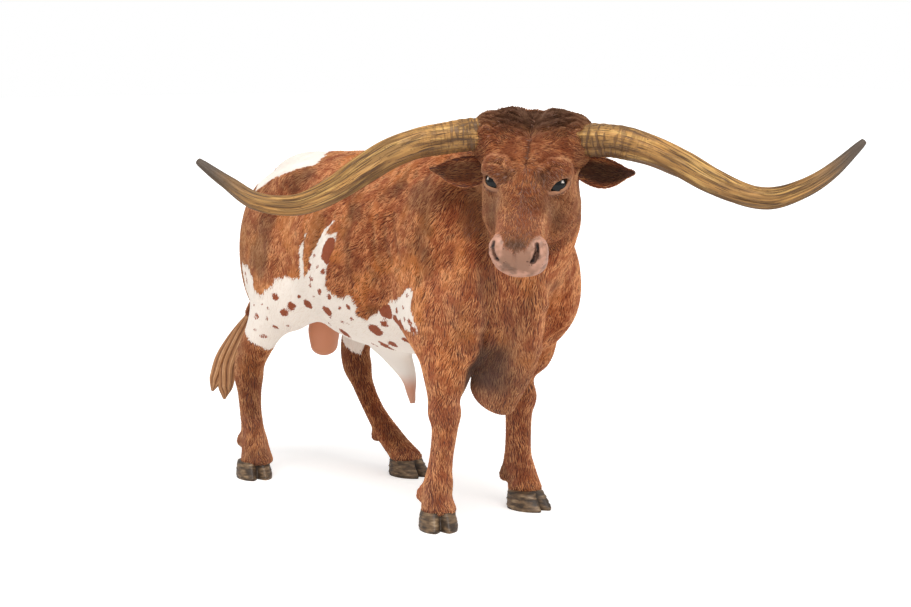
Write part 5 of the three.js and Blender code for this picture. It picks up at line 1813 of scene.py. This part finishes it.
class LONGHORN_OT_coat(bpy.types.Operator):
    """Carves the coat's strokes over the skin and the ears"""

    bl_idname = "longhorn.coat"
    bl_label = "Coat"

    def execute(self, context):
        coat = settings(context)[1]
        skins = [(need("skin"), region, k) for k, region in enumerate(REGIONS)]
        skins += [(need(f"ear_{name}_leaf"), "ears", 0) for name in SIDES]
        values = {
            "Stroke": stroke_shape(),
            "Length": coat.stroke_length,
            "Height": coat.stroke_height,
            "Waywardness": coat.waywardness,
            "Material": coat_material("Painted Strokes", bpy.data.node_groups["Painted Coat"], 0.15),
        }
        tree = coat_tree()
        for turn, (skin, region, index) in enumerate(skins):
            name = f"coat_{region}" if region != "ears" else skin.name.replace("leaf", "coat")
            fine = coat.fineness if region in ("head", "ears") else 1.0
            values["Region"] = index
            values["Spacing"] = coat.spacing * fine
            values["Width"] = coat.stroke_width * fine**0.7
            values["Seed"] = coat.seed + 13 * turn
            piece = grown(skin, tree, name, values)
            if not piece.data.polygons:
                raise RuntimeError(f"No strokes grew for {name}")
            paint_strokes(piece.data, region)
            bake_map(piece.data, region)
            forget(piece.data)
            finish_piece(piece, None, "coat")
        bpy.data.objects.remove(values["Stroke"])
        return {"FINISHED"}


class LONGHORN_OT_horns(bpy.types.Operator):
    """Makes the two long horns"""

    bl_idname = "longhorn.horns"
    bl_label = "Horns"

    def execute(self, context):
        material = horn_material(settings(context)[0])
        for name, side in SIDES.items():
            finish_piece(horn_piece(side, f"horn_{name}_fine"), material, "horn", f"horn_{name}")
        return {"FINISHED"}


class LONGHORN_OT_eyes(bpy.types.Operator):
    """Sets the two eyes behind their lids"""

    bl_idname = "longhorn.eyes"
    bl_label = "Eyes"

    def execute(self, context):
        material = eye_material(settings(context)[0])
        for name, side in SIDES.items():
            finish_piece(eye_piece(side, f"eye_{name}_ball"), material, "eye", f"eye_{name}")
        return {"FINISHED"}


class LONGHORN_OT_hooves(bpy.types.Operator):
    """Makes the four cloven hooves"""

    bl_idname = "longhorn.hooves"
    bl_label = "Hooves"

    def execute(self, context):
        material = hoof_material(settings(context)[0])
        for name, hoof in HOOVES.items():
            finish_piece(hoof_piece(f"cloven_{name}", hoof), material, "hoof", f"hoof_{name}")
        return {"FINISHED"}


class LONGHORN_OT_switch(bpy.types.Operator):
    """Makes the locks at the end of the tail"""

    bl_idname = "longhorn.switch"
    bl_label = "Tail switch"

    def execute(self, context):
        material = switch_material(settings(context)[0])
        finish_piece(switch_piece("switch_locks"), material, "tail_hair", "tail_switch")
        return {"FINISHED"}


# The camera stands to the right of the bull's head, a little above its middle. Its axes are the
# picture's right, its up, and the way back from the bull.
CAMERA_AT = (-277.92, -375.25, 97.6)
CAMERA_AXES = ((0.7894, -0.6139, 0.0), (0.0730, 0.0939, 0.9929), (-0.6095, -0.7838, 0.1189))
CAMERA_LENS = 86.94
KEY_FROM = (-0.5, -0.95, 1.5)
FLOOR_HALF = 3000.0
# How much of the floor's own light the camera sees, so that the sheet looks evenly pale
FLOOR_GLOW = 0.42


class LONGHORN_OT_stage(bpy.types.Operator):
    """Lays the pale floor and sets the camera and the lights"""

    bl_idname = "longhorn.stage"
    bl_label = "Stage"

    def execute(self, context):
        stage = settings(context)[2]
        scene = context.scene
        corners = [(x * FLOOR_HALF, y * FLOOR_HALF, 0) for x, y in ((-1, -1), (1, -1), (1, 1), (-1, 1))]
        floor = mesh_object("floor", to_metres(corners), [(0, 1, 2, 3)])
        material, n, shader = new_material("Paper Floor")
        shade = [c * 0.985 for c in stage.floor]
        seen = n.get("ShaderNodeLightPath", output="Is Camera Ray")
        paper = {
            "Base Color": n.mix(n.noise(n.place(), 300.0, 2.0), stage.floor, shade),
            "Roughness": 0.85,
            "Specular IOR Level": 0.1,
            "Emission Color": (1, 1, 1, 1),
            "Emission Strength": n.times(seen, FLOOR_GLOW),
        }
        n.join(shader, paper)
        floor.data.materials.append(material)

        camera = new_object("camera", bpy.data.cameras.new("camera"))
        axes = Matrix(CAMERA_AXES).transposed().to_4x4()
        camera.matrix_world = Matrix.Translation(to_metres(CAMERA_AT)) @ axes
        camera.data.lens = CAMERA_LENS
        camera.data.sensor_width = 36.0
        camera.data.clip_start = 0.01
        scene.camera = camera

        key = new_object("key", bpy.data.lights.new("key", "SUN"))
        key.data.energy = stage.key_power
        key.data.angle = stage.key_softness
        key.matrix_world = Vector(KEY_FROM).to_track_quat("Z", "Y").to_matrix().to_4x4()

        world = bpy.data.worlds.new("white room")
        world.use_nodes = True
        n = Nodes(world.node_tree)
        seen = n.get("ShaderNodeLightPath", output="Is Camera Ray")
        sky = {"Color": (1, 1, 1, 1), "Strength": n.ramp(seen, 0.0, 1.0, stage.world, 1.0)}
        n.join(world.node_tree.nodes["Background"], sky)
        scene.world = world
        scene.view_settings.view_transform = "Standard"
        return {"FINISHED"}


class LONGHORN_PT_pieces(bpy.types.Panel):
    """Builds the figure piece by piece"""

    bl_label = "Toy Longhorn Bull"
    bl_idname = "LONGHORN_PT_pieces"
    bl_space_type = "VIEW_3D"
    bl_region_type = "UI"
    bl_category = "Longhorn"

    def draw(self, context):
        for operator in OPERATORS:
            self.layout.operator(operator.bl_idname)
        for group in settings(context):
            box = self.layout.box()
            for name in group.bl_rna.properties.keys():
                if name not in ("rna_type", "name"):
                    box.prop(group, name)


OPERATORS = (
    LONGHORN_OT_skin,
    LONGHORN_OT_ears,
    LONGHORN_OT_coat,
    LONGHORN_OT_horns,
    LONGHORN_OT_eyes,
    LONGHORN_OT_hooves,
    LONGHORN_OT_switch,
    LONGHORN_OT_stage,
)
GROUPS = {
    "longhorn_colours": LonghornColours,
    "longhorn_coat": LonghornCoat,
    "longhorn_stage": LonghornStage,
}


def register():
    for cls in (*GROUPS.values(), *OPERATORS, LONGHORN_PT_pieces):
        bpy.utils.register_class(cls)
    for name, cls in GROUPS.items():
        setattr(bpy.types.Scene, name, bpy.props.PointerProperty(type=cls))


def unregister():
    for name in GROUPS:
        delattr(bpy.types.Scene, name)
    for cls in reversed((*GROUPS.values(), *OPERATORS, LONGHORN_PT_pieces)):
        bpy.utils.unregister_class(cls)


def main():
    register()
    for operator in OPERATORS:
        group, name = operator.bl_idname.split(".")
        getattr(getattr(bpy.ops, group), name)()


if __name__ == "__main__":
    main()
